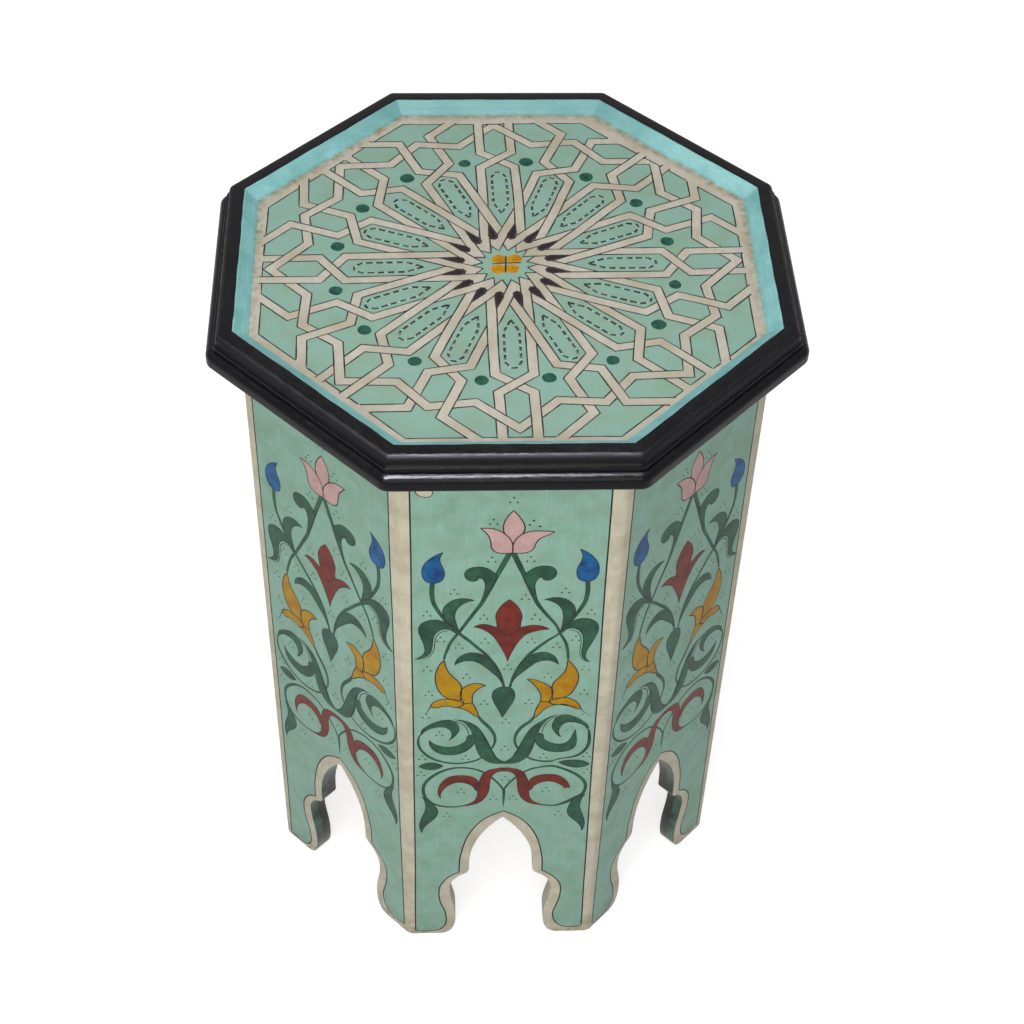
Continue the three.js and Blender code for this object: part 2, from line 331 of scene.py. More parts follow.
def back_painted_shade(tree, place):
    """Painted shade: the members at the back made darker, as if they stood in shade."""
    depth = node(tree, "SeparateXYZ", {0: place}, out="Y")
    return node(tree, "MapRange", {"Value": depth, "From Min": 0.11, "From Max": 0.17, "To Max": 0.55})


def tray_distance(tree, place):
    """How far a point lies from the stool's axis, measured square to the nearest side."""
    reach = None
    for turn in range(4):
        line = (math.cos(turn * EIGHTH), math.sin(turn * EIGHTH), 0)
        across = node(tree, "VectorMath", {0: place, 1: line}, operation="DOT_PRODUCT")
        across = node(tree, "Math", {0: across}, operation="ABSOLUTE")
        reach = node(tree, "Math", {0: across, 1: reach}, operation="MAXIMUM") if reach else across
    return reach


def lip_foot_dust_and_shade(tree, place):
    """Darker along the lip's foot, most at the back: part dust, part painted shade in the corner."""
    reach = tray_distance(tree, place)
    near, past = [
        node(tree, "MapRange", {
            "Value": reach, "From Min": LIP_FOOT + start * MM, "From Max": LIP_FOOT + end * MM,
        }, interpolation_type="SMOOTHSTEP") for start, end in ((-6, 0), (3.5, 0.5))
    ]
    depth = node(tree, "SeparateXYZ", {0: place}, out="Y")
    far = node(tree, "MapRange", {
        "Value": depth, "From Min": -0.12, "From Max": 0.04, "To Min": 0.12, "To Max": 1.0,
    })
    band = near
    for share in (past, far, speckle(tree, place, 6, 0.36, 0.70)):
        band = node(tree, "Math", {0: band, 1: share}, operation="MULTIPLY")
    return band


print("masks ready")

# %% [markdown]
# The ground colours come first. On the real stool they are water paints over a thin white ground, left
# nearly matt: mint for the fields, a grey cream for the borders and ribbons, and turquoise for the lip.
# Each paint is named with four colours: the coat itself, where it is thin, where it is thick, and a fleck.

# %% Ground paints
# Mint water paint: chalky green with bluish clouds, streaked down the board.
mint_board = brushed_paint(
    "mint_water_paint_board", "#8BB5A4", "#97C0B2", "#85AA94", "#A2AF9E", DOWN_THE_BOARD, 0.46, cloud=15,
    stains_and_shade=[("#6F8575", scuffed_foot)],
)
# The same mint on the top, where the strokes run from back to front.
mint_top = brushed_paint(
    "mint_water_paint_top", "#8FB5A3", "#90B9AA", "#8EAF95", "#A6B09B", ALONG_THE_TOP, 0.5,
    gloss=0.03, cloud=15,
)
# Cream water paint: grey beige that shows pink and olive where it is thin, and dark wood at a rubbed arris.
cream_board = brushed_paint(
    "cream_water_paint_board", "#D0CAB5", "#D9D5C0", "#C1BAA2", "#C0AF9C", DOWN_THE_BOARD, 0.48, cloud=15,
    stains_and_shade=[("#8E8069", rubbed_arris), ("#85795F", scuffed_foot)],
)
# The same cream on the top, a little greyer from handling, with dust and painted shade at the lip's foot.
cream_top = brushed_paint(
    "cream_water_paint_top", "#C6C0AE", "#D0CCBB", "#B9B299", "#C2AD9F", ALONG_THE_TOP, 0.5, gloss=0.03,
    stains_and_shade=[("#8C7E55", lip_foot_dust_and_shade)],
)
# Turquoise gloss paint: smoother and wetter than the mint, with dust and painted shade at its foot,
# and painted shade on the members at the back.
turquoise_lip = brushed_paint(
    "turquoise_gloss_paint", "#88C1BF", "#96D0CD", "#79B4B3", "#8EBCAF", (8, 8, 1), 0.50,
    gloss=0.05, cloud=18,
    stains_and_shade=[("#5C908C", back_painted_shade), ("#7B7A58", lip_foot_dust_and_shade)],
)
print("ground paints:", len(bpy.data.materials))

# %% [markdown]
# The flowers use artists' colours straight from the pot, one or two strokes to a petal, so they show more
# bristle marks than the grounds do. The lines round them are thinned black paint from a pointed brush.

# %% Flower paints
# Leaf green: dark and a little blue, lighter where the brush ran dry.
leaf_green = brushed_paint(
    "leaf_green_paint", "#204A38", "#33684C", "#16322D", "#405A4C", DABBED, 0.45, cloud=12,
)
# Pink: red let down with white, flat and chalky.
petal_pink = brushed_paint(
    "petal_pink_paint", "#C9A3A1", "#D0B1AD", "#BF9897", "#C6ADA6", DABBED, 0.5, cloud=9,
)
# Dark red: brick red in one thick coat.
petal_red = brushed_paint(
    "brick_red_paint", "#6D2014", "#7F2C1D", "#551810", "#6A3829", DABBED, 0.45, cloud=9,
)
# Blue: a strong blue with pale and dark bristle marks side by side.
bud_blue = brushed_paint(
    "bud_blue_paint", "#0F4C88", "#1B74A0", "#0F3168", "#2F58A0", (0.8, 0.8, 9), 0.42, cloud=7,
)
# Yellow: ochre that turns to orange in its thick places.
lily_yellow = brushed_paint(
    "ochre_yellow_paint", "#B3860B", "#BF9616", "#A66D06", "#94812B", DABBED, 0.45, cloud=11,
)
# Orange for the middle of the star: the same ochre, richer.
heart_orange = brushed_paint(
    "ochre_orange_paint", "#C38C0C", "#CF9A1B", "#B47404", "#BF8A16", DABBED, 0.5,
    gloss=0.04, cloud=5,
)
# Black line: thinned black that dries to a soft brown black.
ink = brushed_paint(
    "thinned_black_line", "#1D1B19", "#2E2B27", "#151412", "#33302B", DABBED, 0.5, cloud=14,
)
# Charcoal for the sixteen darts: black with a touch of the red left in the brush.
charcoal = brushed_paint(
    "charcoal_paint", "#2A2124", "#362C30", "#20181A", "#3A3133", DABBED, 0.5, gloss=0.04, cloud=6,
)
# Dark green on the cut edges of the arches: one hasty coat that stops half way to the stained wood behind.
edge_green = brushed_paint(
    "dark_green_edge_paint", "#3C5F4E", "#57796E", "#232D28", "#596A68", (3, 3, 9), 0.35,
    gloss=0.3, cloud=13,
    stains_and_shade=[("#231E1F", behind_the_face)],
)
print("paints:", len(bpy.data.materials))

# %% [markdown]
# The moulding is lacquered: many thin coats of black over stained wood, wet enough to run level along the
# stroke. Black shows almost only reflections, so its looks are in its gloss: a low roughness that rises in
# patches and along dry strokes, a shoulder that hands have dulled, and shallow waves from the brush.

# %% Black lacquer
SHOULDER_DULLING = 0.30


def lacquer():
    """Glossy black lacquer with waves along the moulding, dry strokes and dull patches."""
    material, tree, place = new_material("black_lacquer")
    along = node(tree, "Attribute", out="Vector", attribute_name="moulding")
    waves = node(tree, "Mapping", {"Vector": along, "Scale": (per(6), per(1.1), per(1.1))})
    brush = node(tree, "TexNoise", {"Vector": waves, "Scale": 1.0, "Detail": 3.0, "Roughness": 0.55})
    dull = node(tree, "TexNoise", {"Vector": place, "Scale": per(14), "Detail": 5.0})
    patches = node(tree, "MapRange", {
        "Value": dull, "From Min": 0.35, "From Max": 0.7, "To Min": 0.12, "To Max": 0.26,
    })
    strokes = node(tree, "Mapping", {"Vector": along, "Scale": (per(9), per(1.6), per(1.6))})
    worn = node(tree, "TexNoise", {"Vector": strokes, "Scale": 1.0, "Detail": 6.0, "Roughness": 0.72})
    dry = node(tree, "MapRange", {
        "Value": worn, "From Min": 0.36, "From Max": 0.64, "To Min": 0.13, "To Max": -0.04,
    })
    height = node(tree, "SeparateXYZ", {0: place}, out="Z")
    below = node(tree, "MapRange", {
        "Value": height, "From Min": RIM_TOP - 6 * MM, "From Max": RIM_TOP - 3 * MM,
        "To Max": SHOULDER_DULLING,
    })
    above = node(tree, "MapRange", {
        "Value": height, "From Min": RIM_TOP - 0.5 * MM, "From Max": RIM_TOP - 0.05 * MM,
        "To Min": SHOULDER_DULLING, "To Max": 0.04,
    })
    handled = node(tree, "Math", {0: below, 1: above}, operation="MINIMUM")
    shine = node(tree, "Math", {0: node(tree, "Math", {0: patches, 1: dry}), 1: handled})
    dust = speckle(tree, place, 2.4, 0.66, 0.74)
    tint = layered(tree, "#060508", [(brush, "#100F12"), (dust, "#3A3838")])
    surface(tree, tint, shine, brush, 0.16, 1.0, Specular_IOR_Level=0.10)
    return material


black_lacquer = lacquer()
print("lacquer ready")

# %% [markdown]
# Inside, the wood is bare softwood. Its grain is a set of stretched rings: bands of late wood 4 mm apart,
# bent by a slow noise. The grain follows the long way of each piece, so the cleats, which lie along the
# sides, get a copy of the wood turned to each direction, and everything upright shares one.

# %% Bare wood and steel
GRAIN_STRETCH = 0.06


def bare_wood(name, turn, upright):
    """Planed softwood with its grain upright, or level and turned by an angle."""
    material, tree, place = new_material(name)
    level = node(tree, "Mapping", {"Vector": place, "Rotation": (0, 0, -turn)})
    stretch = (1, 1, GRAIN_STRETCH) if upright else (GRAIN_STRETCH, 1, 1)
    grain = node(tree, "Mapping", {"Vector": level, "Scale": stretch})
    rings = node(tree, "TexWave", {
        "Vector": grain, "Scale": per(13), "Distortion": 7.0, "Detail": 4.0, "Detail Scale": 0.8,
    }, out="Fac", bands_direction="DIAGONAL" if upright else "Y")
    pores = node(tree, "TexNoise", {"Vector": grain, "Scale": per(0.8), "Detail": 3.0})
    dark = node(tree, "MapRange", {"Value": pores, "From Min": 0.55, "From Max": 0.8, "To Max": 0.5})
    overlay = speckle(tree, place, 34, 0.56, 0.74)
    tint = layered(tree, "#C19A68", [(rings, "#A87C4C"), (dark, "#7E5B38"), (overlay, "#8F6F4A")])
    shine = node(tree, "MapRange", {"Value": pores, "To Min": 0.62, "To Max": 0.85})
    surface(tree, tint, shine, pores, 0.1, 0.5)
    return material


def screw_steel():
    """Zinc-plated steel: grey with fine turned marks and dull spots."""
    material, tree, place = new_material("zinc_plated_steel")
    spots = node(tree, "TexNoise", {"Vector": place, "Scale": per(1.5), "Detail": 4.0})
    tint = layered(tree, "#B9B8B2", [(spots, "#85817A")])
    shine = node(tree, "MapRange", {"Value": spots, "To Min": 0.22, "To Max": 0.55})
    surface(tree, tint, shine, spots, 0.05, 0.4, Metallic=1.0)
    return material


upright_wood = bare_wood("bare_softwood_upright", 0.0, True)
level_woods = [bare_wood(f"bare_softwood_level_{i + 1}", i * EIGHTH, False) for i in range(4)]
zinc_steel = screw_steel()
print("materials:", len(bpy.data.materials))

# %% [markdown]
# A side board starts as its outline: a closed Bezier curve, drawn in millimetres with x across and y up, as
# a template would be cut from card. The arch is the same one that the CAD board has. A flat curve that is
# filled and extruded becomes a solid board when it is converted to a mesh.

# %% Helpers for flat curves
SEAM_GAP = 0.002 * MM


def only(*objects):
    """Select these objects alone and make the first one active."""
    bpy.ops.object.select_all(action="DESELECT")
    for item in objects:
        item.select_set(True)
    bpy.context.view_layer.objects.active = objects[0]


def open_all():
    """Open the active piece for editing, with all of it selected."""
    bpy.ops.object.mode_set(mode="EDIT")
    bpy.ops.mesh.select_all(action="SELECT")


def to_mesh(piece):
    """Convert a curve to a closed mesh, with the doubled points along its seams merged."""
    only(piece)
    bpy.ops.object.convert(target="MESH")
    open_all()
    bpy.ops.mesh.remove_doubles(threshold=SEAM_GAP)
    bpy.ops.object.mode_set(mode="OBJECT")
    return bpy.context.object


def flat_curve(name, dimensions="2D"):
    """An empty curve object: a flat shape that gets filled, or in 3D a path for strokes."""
    data = bpy.data.curves.new(name, "CURVE")
    data.dimensions = dimensions
    data.fill_mode = "BOTH" if dimensions == "2D" else "FULL"
    return add(name, data)


def handled_spline(data, points, steps):
    """A closed spline of (point, handle before, handle after); a handle of None keeps it straight."""
    spline = data.splines.new("BEZIER")
    spline.bezier_points.add(len(points) - 1)
    spline.use_cyclic_u = True
    spline.resolution_u = steps
    for target, (place, *handles) in zip(spline.bezier_points, points):
        target.co = (place[0] * MM, place[1] * MM, 0)
        for side, handle in zip(("handle_left", "handle_right"), handles):
            setattr(target, side + "_type", "FREE" if handle else "VECTOR")
            if handle:
                setattr(target, side, (handle[0] * MM, handle[1] * MM, 0))


print("curve helpers ready")

# %% Outline of a side board
FOOT_ROUNDING = 2
OUTLINE_STEPS = 8
# The right half of the arch from the apex down to the floor: point, handle before, handle after.
RIGHT_ARCH = [
    ((23.5, 95), (23.5, 117), (23.5, 92)),
    ((23.5, 87.5), (23.5, 90), (23.5, 85)),
    ((27.5, 81), (25.2, 82.3), (34, 77)),
    ((38, 62), (38, 70), (38, 46.4)),
    ((33.3, 23), (33.3, 40.5), (33.3, 8)),
    ((44, 0), (37, 0), None),
]
APEX = ((0, 154), (-15.1, 138.1), (15.1, 138.1))


def mirrored(points):
    """The same stretch of outline on the left, in the order that carries the outline on."""
    flip = [tuple((-p[0], p[1]) if p else None for p in point) for point in reversed(points)]
    return [(place, after, before) for place, before, after in flip]


def board_model():
    """One side board at the front, shaped but not yet painted."""
    half = FACE * MITRE / MM
    height = BOARD_HEIGHT / MM
    soft = FOOT_ROUNDING * 0.45  # where the handles of a quarter round lie
    corner = [
        ((half - FOOT_ROUNDING, 0), None, (half - soft, 0)),
        ((half, FOOT_ROUNDING), (half, soft), None),
        ((half, height), None, None),
    ]
    right = RIGHT_ARCH + corner
    piece = flat_curve("board_model")
    handled_spline(piece.data, [APEX] + right + mirrored(right), OUTLINE_STEPS)
    piece.data.extrude = BOARD_THICKNESS / 2
    piece = to_mesh(piece)
    stand = Matrix.Rotation(math.pi / 2, 4, "X")
    piece.data.transform(Matrix.Translation((0, BOARD_THICKNESS / 2 - FACE, 0)) @ stand)
    return piece


board = board_model()
print("board outline:", len(board.data.vertices), "points")

# %% [markdown]
# Next the board is cut like a real one. A bisect with a plane is a saw cut: two of them make the mitres.
# Then four passes on each arris, each plane touching the same 6 mm round, do what a block plane does.
# Last, a small bevel takes the sharpness off the arch.

# %% Saw the mitres and round the arrises
ARRIS_RADIUS = 6 * MM
ARRIS_PASSES = 4
ARCH_SOFTENING = 0.8 * MM
ARCH_HALF, ARCH_TOP = 46 * MM, 156 * MM
ARRIS_INSIDE = 64 * MM


def saw(place, outward):
    """Cut the mesh in edit mode by a plane and take away what lies on its outward side."""
    bpy.ops.mesh.select_all(action="SELECT")
    bpy.ops.mesh.bisect(
        plane_co=place, plane_no=outward, use_fill=True, clear_outer=True, threshold=0.001 * MM,
    )


def shape_board(piece):
    """Mitre the board's two long edges, round its arrises and soften its arch."""
    only(piece)
    open_all()
    bpy.ops.mesh.dissolve_limited(angle_limit=math.radians(0.3))
    for way in (1, -1):
        saw((0, 0, 0), (way * math.cos(HALF_EIGHTH), math.sin(HALF_EIGHTH), 0))
        centre = Vector((way * (FACE - ARRIS_RADIUS) * MITRE, ARRIS_RADIUS - FACE, 0))
        for i in range(1, ARRIS_PASSES + 1):
            angle = HALF_EIGHTH * i / ARRIS_PASSES
            outward = Vector((way * math.sin(angle), -math.cos(angle), 0))
            saw(centre + outward * ARRIS_RADIUS, outward)
    bpy.ops.mesh.select_all(action="DESELECT")
    bpy.ops.object.mode_set(mode="OBJECT")
    mesh = piece.data
    faces_at = {}
    for face in mesh.polygons:
        for key in face.edge_keys:
            faces_at.setdefault(key, []).append(face)
    for edge in mesh.edges:
        ends = [mesh.vertices[v].co for v in edge.vertices]
        near = all(abs(p.x) < ARRIS_INSIDE and p.z < ARCH_TOP for p in ends)
        pair = faces_at[tuple(sorted(edge.vertices))]
        edge.select = near and len(pair) == 2 and abs(pair[0].normal.dot(pair[1].normal)) < 0.5
    bpy.ops.object.mode_set(mode="EDIT")
    bpy.ops.mesh.select_mode(type="EDGE")
    bpy.ops.mesh.bevel(offset=ARCH_SOFTENING, segments=2, profile=0.5, affect="EDGES")
    bpy.ops.mesh.select_all(action="SELECT")
    bpy.ops.mesh.normals_make_consistent(inside=False)
    bpy.ops.object.mode_set(mode="OBJECT")
    for vertex in mesh.vertices:
        vertex.co.z = max(vertex.co.z, 0)
    bpy.ops.object.shade_smooth_by_angle(angle=math.radians(32))
    return piece


shape_board(board)
print("shaped board:", len(board.data.polygons), "faces")

# %% [markdown]
# A board carries three finishes, and each face can name its own: cream on the front and the rounded arris,
# dark green on the cut edge of the arch, bare wood on the back, the mitres and the top end. Faces are told
# apart by the way they look, which is how one would pick them by hand.

# %% Finishes of a board
CREAM, GREEN, WOOD = range(3)


def finish_board(piece):
    """Give each face of the board its finish, and keep the board's own coordinates."""
    mesh = piece.data
    for material in (cream_board, edge_green, upright_wood):
        mesh.materials.append(material)
    for face in mesh.polygons:
        out = -face.normal.y
        in_the_arch = abs(face.center.x) < ARCH_HALF and face.center.z < ARCH_TOP
        if out > 0.5:
            face.material_index = CREAM
        elif in_the_arch and out > -0.5:
            face.material_index = GREEN
        else:
            face.material_index = WOOD
    own = mesh.attributes.new("board", "FLOAT_VECTOR", "POINT")
    for vertex, value in zip(mesh.vertices, own.data):
        value.vector = vertex.co


def set_round(model, stem, node_stem, change=None):
    """Copy a piece modelled at the front to all eight sides, each with a mesh of its own."""
    for i, side in enumerate(SIDES):
        piece = add(f"{stem}_{side}", model.data.copy())
        if change:
            change(piece.data, i)
        piece.data.transform(Matrix.Rotation(EIGHTH * i, 4, "Z"))
        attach(piece, "root")
        if node_stem:
            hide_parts(f"{node_stem}_{side}")
    bpy.data.objects.remove(model)


def vary_board(mesh, side):
    """On the front board the edge of the arch is cream like its border; the others are dark green."""
    for face in mesh.polygons:
        if side == 0 and face.material_index == GREEN:
            face.material_index = CREAM


finish_board(board)
set_round(board, "painted_board", "side_board", vary_board)
print("boards set round the stool")

# %% [markdown]
# The moulding is one profile carried round an octagon. Its corners are sanded round, more at the outside
# than at the tray, so a plain mitred bar would look too sharp. Here a flat grid is laid down for one side,
# its rows are pushed onto the profile and its columns onto the line round the corner. Both ends are then
# closed, and eight copies meet at the mitres.

# %% Profile of the moulding
LIP_WIDTH, FLAT_WIDTH = 9.5, 6.9
SHOULDER = 3.5
COVE_WIDTH, COVE_DEPTH = 1.2, 7.3
FILLET_WIDTH, FILLET_SOFTENING = 1, 0.25
BEVEL_WIDTH, BEVEL_HEIGHT = 0.2, 4.0
BEAD = 4.5
ROUND_STEPS = 6
RIM_HEIGHT = (RIM_TOP - RIM_UNDERSIDE) / MM
LIP_DEPTH = (RIM_TOP - TOP_FACE) / MM
# The lip is a shallow ogee with a faint ridge half way: share of its width, share of its rise.
LIP_CURVE = [
    (0.12, 0.05), (0.25, 0.18), (0.38, 0.32), (0.50, 0.42), (0.53, 0.49),
    (0.62, 0.58), (0.72, 0.68), (0.80, 0.81), (0.88, 0.92), (0.94, 0.98),
]
# The rounded lower edge of the outer band, inward from the band and up from the underside.
FOOT_CURVE = [(0, 1.8), (0, 1.2), (0.35, 0.35), (1.2, 0), (1.8, 0), (8, 0)]


def arc(centre, radius):
    """Points on a quarter round, from straight up to straight out."""
    angles = [math.radians(90 - 90 * i / ROUND_STEPS) for i in range(ROUND_STEPS + 1)]
    return [(centre[0] + radius * math.cos(a), centre[1] + radius * math.sin(a)) for a in angles]


def moulding_profile():
    """Points of (out from the tray, up from the underside), and the first one of the black flat."""
    foot = RIM_HEIGHT - LIP_DEPTH
    points = [(0, 0), (0, foot)] + [(LIP_WIDTH * out, foot + LIP_DEPTH * up) for out, up in LIP_CURVE]
    black_from = len(points)
    flat_end = LIP_WIDTH + FLAT_WIDTH
    points += [(LIP_WIDTH, RIM_HEIGHT), (LIP_WIDTH + 2.4, RIM_HEIGHT)]
    points += arc((flat_end, RIM_HEIGHT - SHOULDER), SHOULDER)
    cove_out = flat_end + SHOULDER
    cove_foot = RIM_HEIGHT - COVE_DEPTH
    cove_rise = COVE_DEPTH - SHOULDER
    for share in (0.25, 0.5, 0.75, 0.92):
        points.append((cove_out + COVE_WIDTH * share ** 2.2, cove_foot + cove_rise * (1 - share)))
    fillet = cove_out + COVE_WIDTH + FILLET_WIDTH
    points += [(fillet - FILLET_WIDTH, cove_foot), (fillet - FILLET_SOFTENING, cove_foot)]
    points.append((fillet, cove_foot - FILLET_SOFTENING))
    points += arc((fillet + BEVEL_WIDTH, cove_foot - BEVEL_HEIGHT - BEAD), BEAD)
    edge = fillet + BEVEL_WIDTH + BEAD
    points += [(edge - inward, up) for inward, up in FOOT_CURVE]
    return points, black_from


PROFILE, BLACK_FROM = moulding_profile()
PROFILE_WIDTH = max(out for out, up in PROFILE)
print(f"profile: {len(PROFILE)} points, {PROFILE_WIDTH:.1f} mm wide, {RIM_HEIGHT:.1f} mm high")

# %% Lay the moulding's grid on its profile
CORNER_STEPS = 6
COLUMNS = 42
INNER_CORNER, OUTER_CORNER = 1.2, 10
LACQUER, LIP = range(2)


def round_the_corner(column, apothem, radius):
    """Across and out of the moulding's line at a column, counted from one mitre to the other."""
    way = -1 if column < COLUMNS / 2 else 1
    steps = min(column, COLUMNS - column)
    straight = (apothem - radius) * MITRE
    if steps > CORNER_STEPS:
        return straight * (2 * (column - CORNER_STEPS) / (COLUMNS - 2 * CORNER_STEPS) - 1), apothem
    angle = HALF_EIGHTH * (1 - steps / CORNER_STEPS)
    return way * (straight + radius * math.sin(angle)), apothem - radius + radius * math.cos(angle)


def moulding_model():
    """The moulding of the front side, closed at both mitres."""
    loop = PROFILE + PROFILE[:1]
    lengths = [0.0]
    for a, b in zip(loop, loop[1:]):
        lengths.append(lengths[-1] + math.dist(a, b))
    bpy.ops.object.select_all(action="DESELECT")
    bpy.ops.mesh.primitive_grid_add(x_subdivisions=COLUMNS, y_subdivisions=len(PROFILE), size=1)
    piece = bpy.context.object
    mesh = piece.data
    mesh.materials.append(black_lacquer)
    mesh.materials.append(turquoise_lip)
    for face in mesh.polygons:
        row = min(face.vertices) // (COLUMNS + 1)
        face.material_index = LIP if 1 <= row < BLACK_FROM else LACQUER
    along = mesh.attributes.new("moulding", "FLOAT_VECTOR", "POINT")
    for i, (vertex, value) in enumerate(zip(mesh.vertices, along.data)):
        row, column = divmod(i, COLUMNS + 1)
        out, up = loop[row]
        if row == BLACK_FROM:  # the line between turquoise and black was cut in by hand
            turn = math.tau * column / COLUMNS
            out -= 0.05 + 0.12 * math.sin(3 * turn) + 0.10 * math.sin(8 * turn + 1)
        radius = INNER_CORNER + (OUTER_CORNER - INNER_CORNER) * (max(out, 0) / PROFILE_WIDTH) ** 3
        across, away = round_the_corner(column, RIM_INNER / MM + out, radius)
        vertex.co = (across * MM, -away * MM, RIM_UNDERSIDE + up * MM)
        value.vector = (across * MM, lengths[row] * MM, 0)
    only(piece)
    open_all()
    bpy.ops.mesh.remove_doubles(threshold=0.01 * MM)
    bpy.ops.mesh.fill_holes(sides=0)
    bpy.ops.mesh.select_all(action="SELECT")
    bpy.ops.mesh.normals_make_consistent(inside=False)
    bpy.ops.object.mode_set(mode="OBJECT")
    bpy.ops.object.shade_smooth_by_angle(angle=math.radians(28))
    return piece


moulding = moulding_model()
print("moulding:", len(moulding.data.vertices), "points", len(moulding.data.polygons), "faces")
set_round(moulding, "moulding", "rim")

# %% [markdown]
# Painted ornament could be an image, but drawn shapes stay sharp from any distance. So each stroke of paint
# is modelled as the thin film that it is: a filled outline for a petal, a line with a brush's width for a
# stem. Both are curves made into meshes and pressed flat, each film a fiftieth of a millimetre above the
# one before it, in the order in which the painter laid them.

# %% Films of paint
FILM = 0.02
GROUND_FILM = 0.05
FILM_FOOT = 0.02
STROKE_BULGE = 0.018
CURVE_STEPS = 5


def smooth_spline(data, points, filled, poly=False):
    """A spline in millimetres: x, y, a brush half width unless it is filled, and a 1 for a corner."""
    spline = data.splines.new("POLY" if poly else "BEZIER")
    targets = spline.points if poly else spline.bezier_points
    targets.add(len(points) - 1)
    spline.use_cyclic_u = filled
    spline.resolution_u = CURVE_STEPS
    for target, (x, y, *more) in zip(targets, points):
        place = (x * MM, y * MM, 0)
        target.co = place + (1,) if poly else place
        target.radius = more.pop(0) if more and not filled else 1
        if not poly:
            target.handle_left_type = target.handle_right_type = "VECTOR" if more else "AUTO"


def press(piece, level, bulge):
    """Press a mesh into a film that reaches down into the ground and swells by a bulge at its middle."""
    top = max(vertex.co.z for vertex in piece.data.vertices)
    for vertex in piece.data.vertices:
        share = vertex.co.z / top
        on_top = share > -1e-4
        height = GROUND_FILM + FILM * level + bulge * share if on_top else FILM_FOOT
        vertex.co.z = height * MM


def fill(outlines, level, material, poly=False):
    """Films with these closed outlines, which don't overlap. level counts films above the ground."""
    piece = flat_curve("film")
    for points in outlines:
        smooth_spline(piece.data, points, True, poly)
    piece.data.extrude = 1 * MM
    piece.data.materials.append(material)
    piece = to_mesh(piece)
    press(piece, level, 0)
    return piece


def draw(lines, level, material, closed=False, poly=False):
    """Brush strokes along these lines, as wide as their points say."""
    piece = flat_curve("stroke", "3D")
    for points in lines:
        smooth_spline(piece.data, points, False, poly)
        piece.data.splines[-1].use_cyclic_u = closed
    piece.data.bevel_depth = 1 * MM
    piece.data.bevel_resolution = 1
    piece.data.use_fill_caps = True
    piece.data.materials.append(material)
    piece = to_mesh(piece)
    press(piece, level, STROKE_BULGE)
    return piece


def joined(name, films):
    """All the films of a painting as one piece."""
    only(*films)
    bpy.ops.object.join()
    bpy.context.object.name = name
    print(name, "has", len(bpy.context.object.data.polygons), "faces")
    return bpy.context.object


print("a film of paint is", FILM, "mm thick")

# %% [markdown]
# The star on the top is a ribbon pattern laid out with a compass. Sixteen rays leave the centre. Each ribbon
# runs beside one ray, makes a V near the centre, and comes back beside the third ray on. Near the edge it
# crosses its own ray and runs out to the border. A zigzag ring ties the outer ends together. The layout is
# worked out here from the rays, as the painter did, and no part of it is copied from the photo.

# %% Ribbons of the star
RAYS = 16
RAY_STEP = math.tau / RAYS
PATTERN_TURN = math.radians(1.3)
RIBBON_OFFSET, RIBBON_HALF = 11.4, 3.2
# Where an arm turns: how far along its ray and how far aside, for rays that meet a side or a corner.
SIDE_STOPS = [(102.5, 11.8), (119, -10.8), (158, -10.4)]
CORNER_STOPS = [(97.5, 11.8), (112, -10.8), (145, -11), (156.5, -38.8)]
RING_TIPS, RING_HOLLOW = (150, 140), 129
# The border line isn't a true octagon: corners in millimetres, from the back left, clockwise.
BORDER_LINE = [
    (-66.3, 151), (56.8, 151.8), (152.5, 60.5), (153.8, -69.5),
    (63.6, -157.4), (-63.8, -157.4), (-155, -64.5), (-154.5, 59.8),
]


def by_ray(ray, along, aside):
    """A point so far along a ray and so far to its left. Even rays meet the sides, odd ones the corners."""
    angle = ray * RAY_STEP + PATTERN_TURN
    return (
        along * math.cos(angle) - aside * math.sin(angle),
        along * math.sin(angle) + aside * math.cos(angle),
    )


def arm(ray, way):
    """One arm of a ribbon, from the V near the centre to the border; way is 1 on the ray's left."""
    start = RIBBON_OFFSET / math.tan(1.5 * RAY_STEP)
    stops = [(start, RIBBON_OFFSET)] + (CORNER_STOPS if ray % 2 else SIDE_STOPS)
    return [by_ray(ray, along, way * aside) for along, aside in stops]


def ribbon(ray):
    """A whole ribbon: in along a ray's left, round the V, and out along the right of the third ray on."""
    return arm(ray, 1)[::-1] + arm(ray + 3, -1)[1:]


def ring():
    """The zigzag ring, with its points on the rays and its hollows between them."""
    points = []
    for ray in range(RAYS):
        points += [by_ray(ray, RING_TIPS[ray % 2], 0), by_ray(ray + 0.5, RING_HOLLOW, 0)]
    return points


def beside(path, distance, closed=False):
    """The line at a distance to the left of a path, with its corners mitred."""
    line = []
    for i, here in enumerate(path):
        before = path[i - 1] if i or closed else None
        after = path[(i + 1) % len(path)] if i + 1 < len(path) or closed else None
        normals = []
        for a, b in ((before, here), (here, after)):
            if a and b:
                length = math.dist(a, b)
                normals.append(((a[1] - b[1]) / length, (b[0] - a[0]) / length))
        x = sum(n[0] for n in normals) / len(normals)
        y = sum(n[1] for n in normals) / len(normals)
        reach = distance / (x * x + y * y)
        line.append((here[0] + x * reach, here[1] + y * reach))
    return line


print("ribbons:", RAYS, "of", 2 * RIBBON_HALF, "mm")

# %% [markdown]
# A ribbon that passes under another simply loses its two edge lines there. So every edge line is walked in
# half-millimetre steps, the steps that lie under another ribbon are left out, and what remains is inked.
# The rule of the weave: left arms pass over the arm two rays on, under the next, and over the near one.

# %% Which lines show
WALK_STEP = 0.5
KEPT_STEPS = 14
LEAST_GAP = 0.05


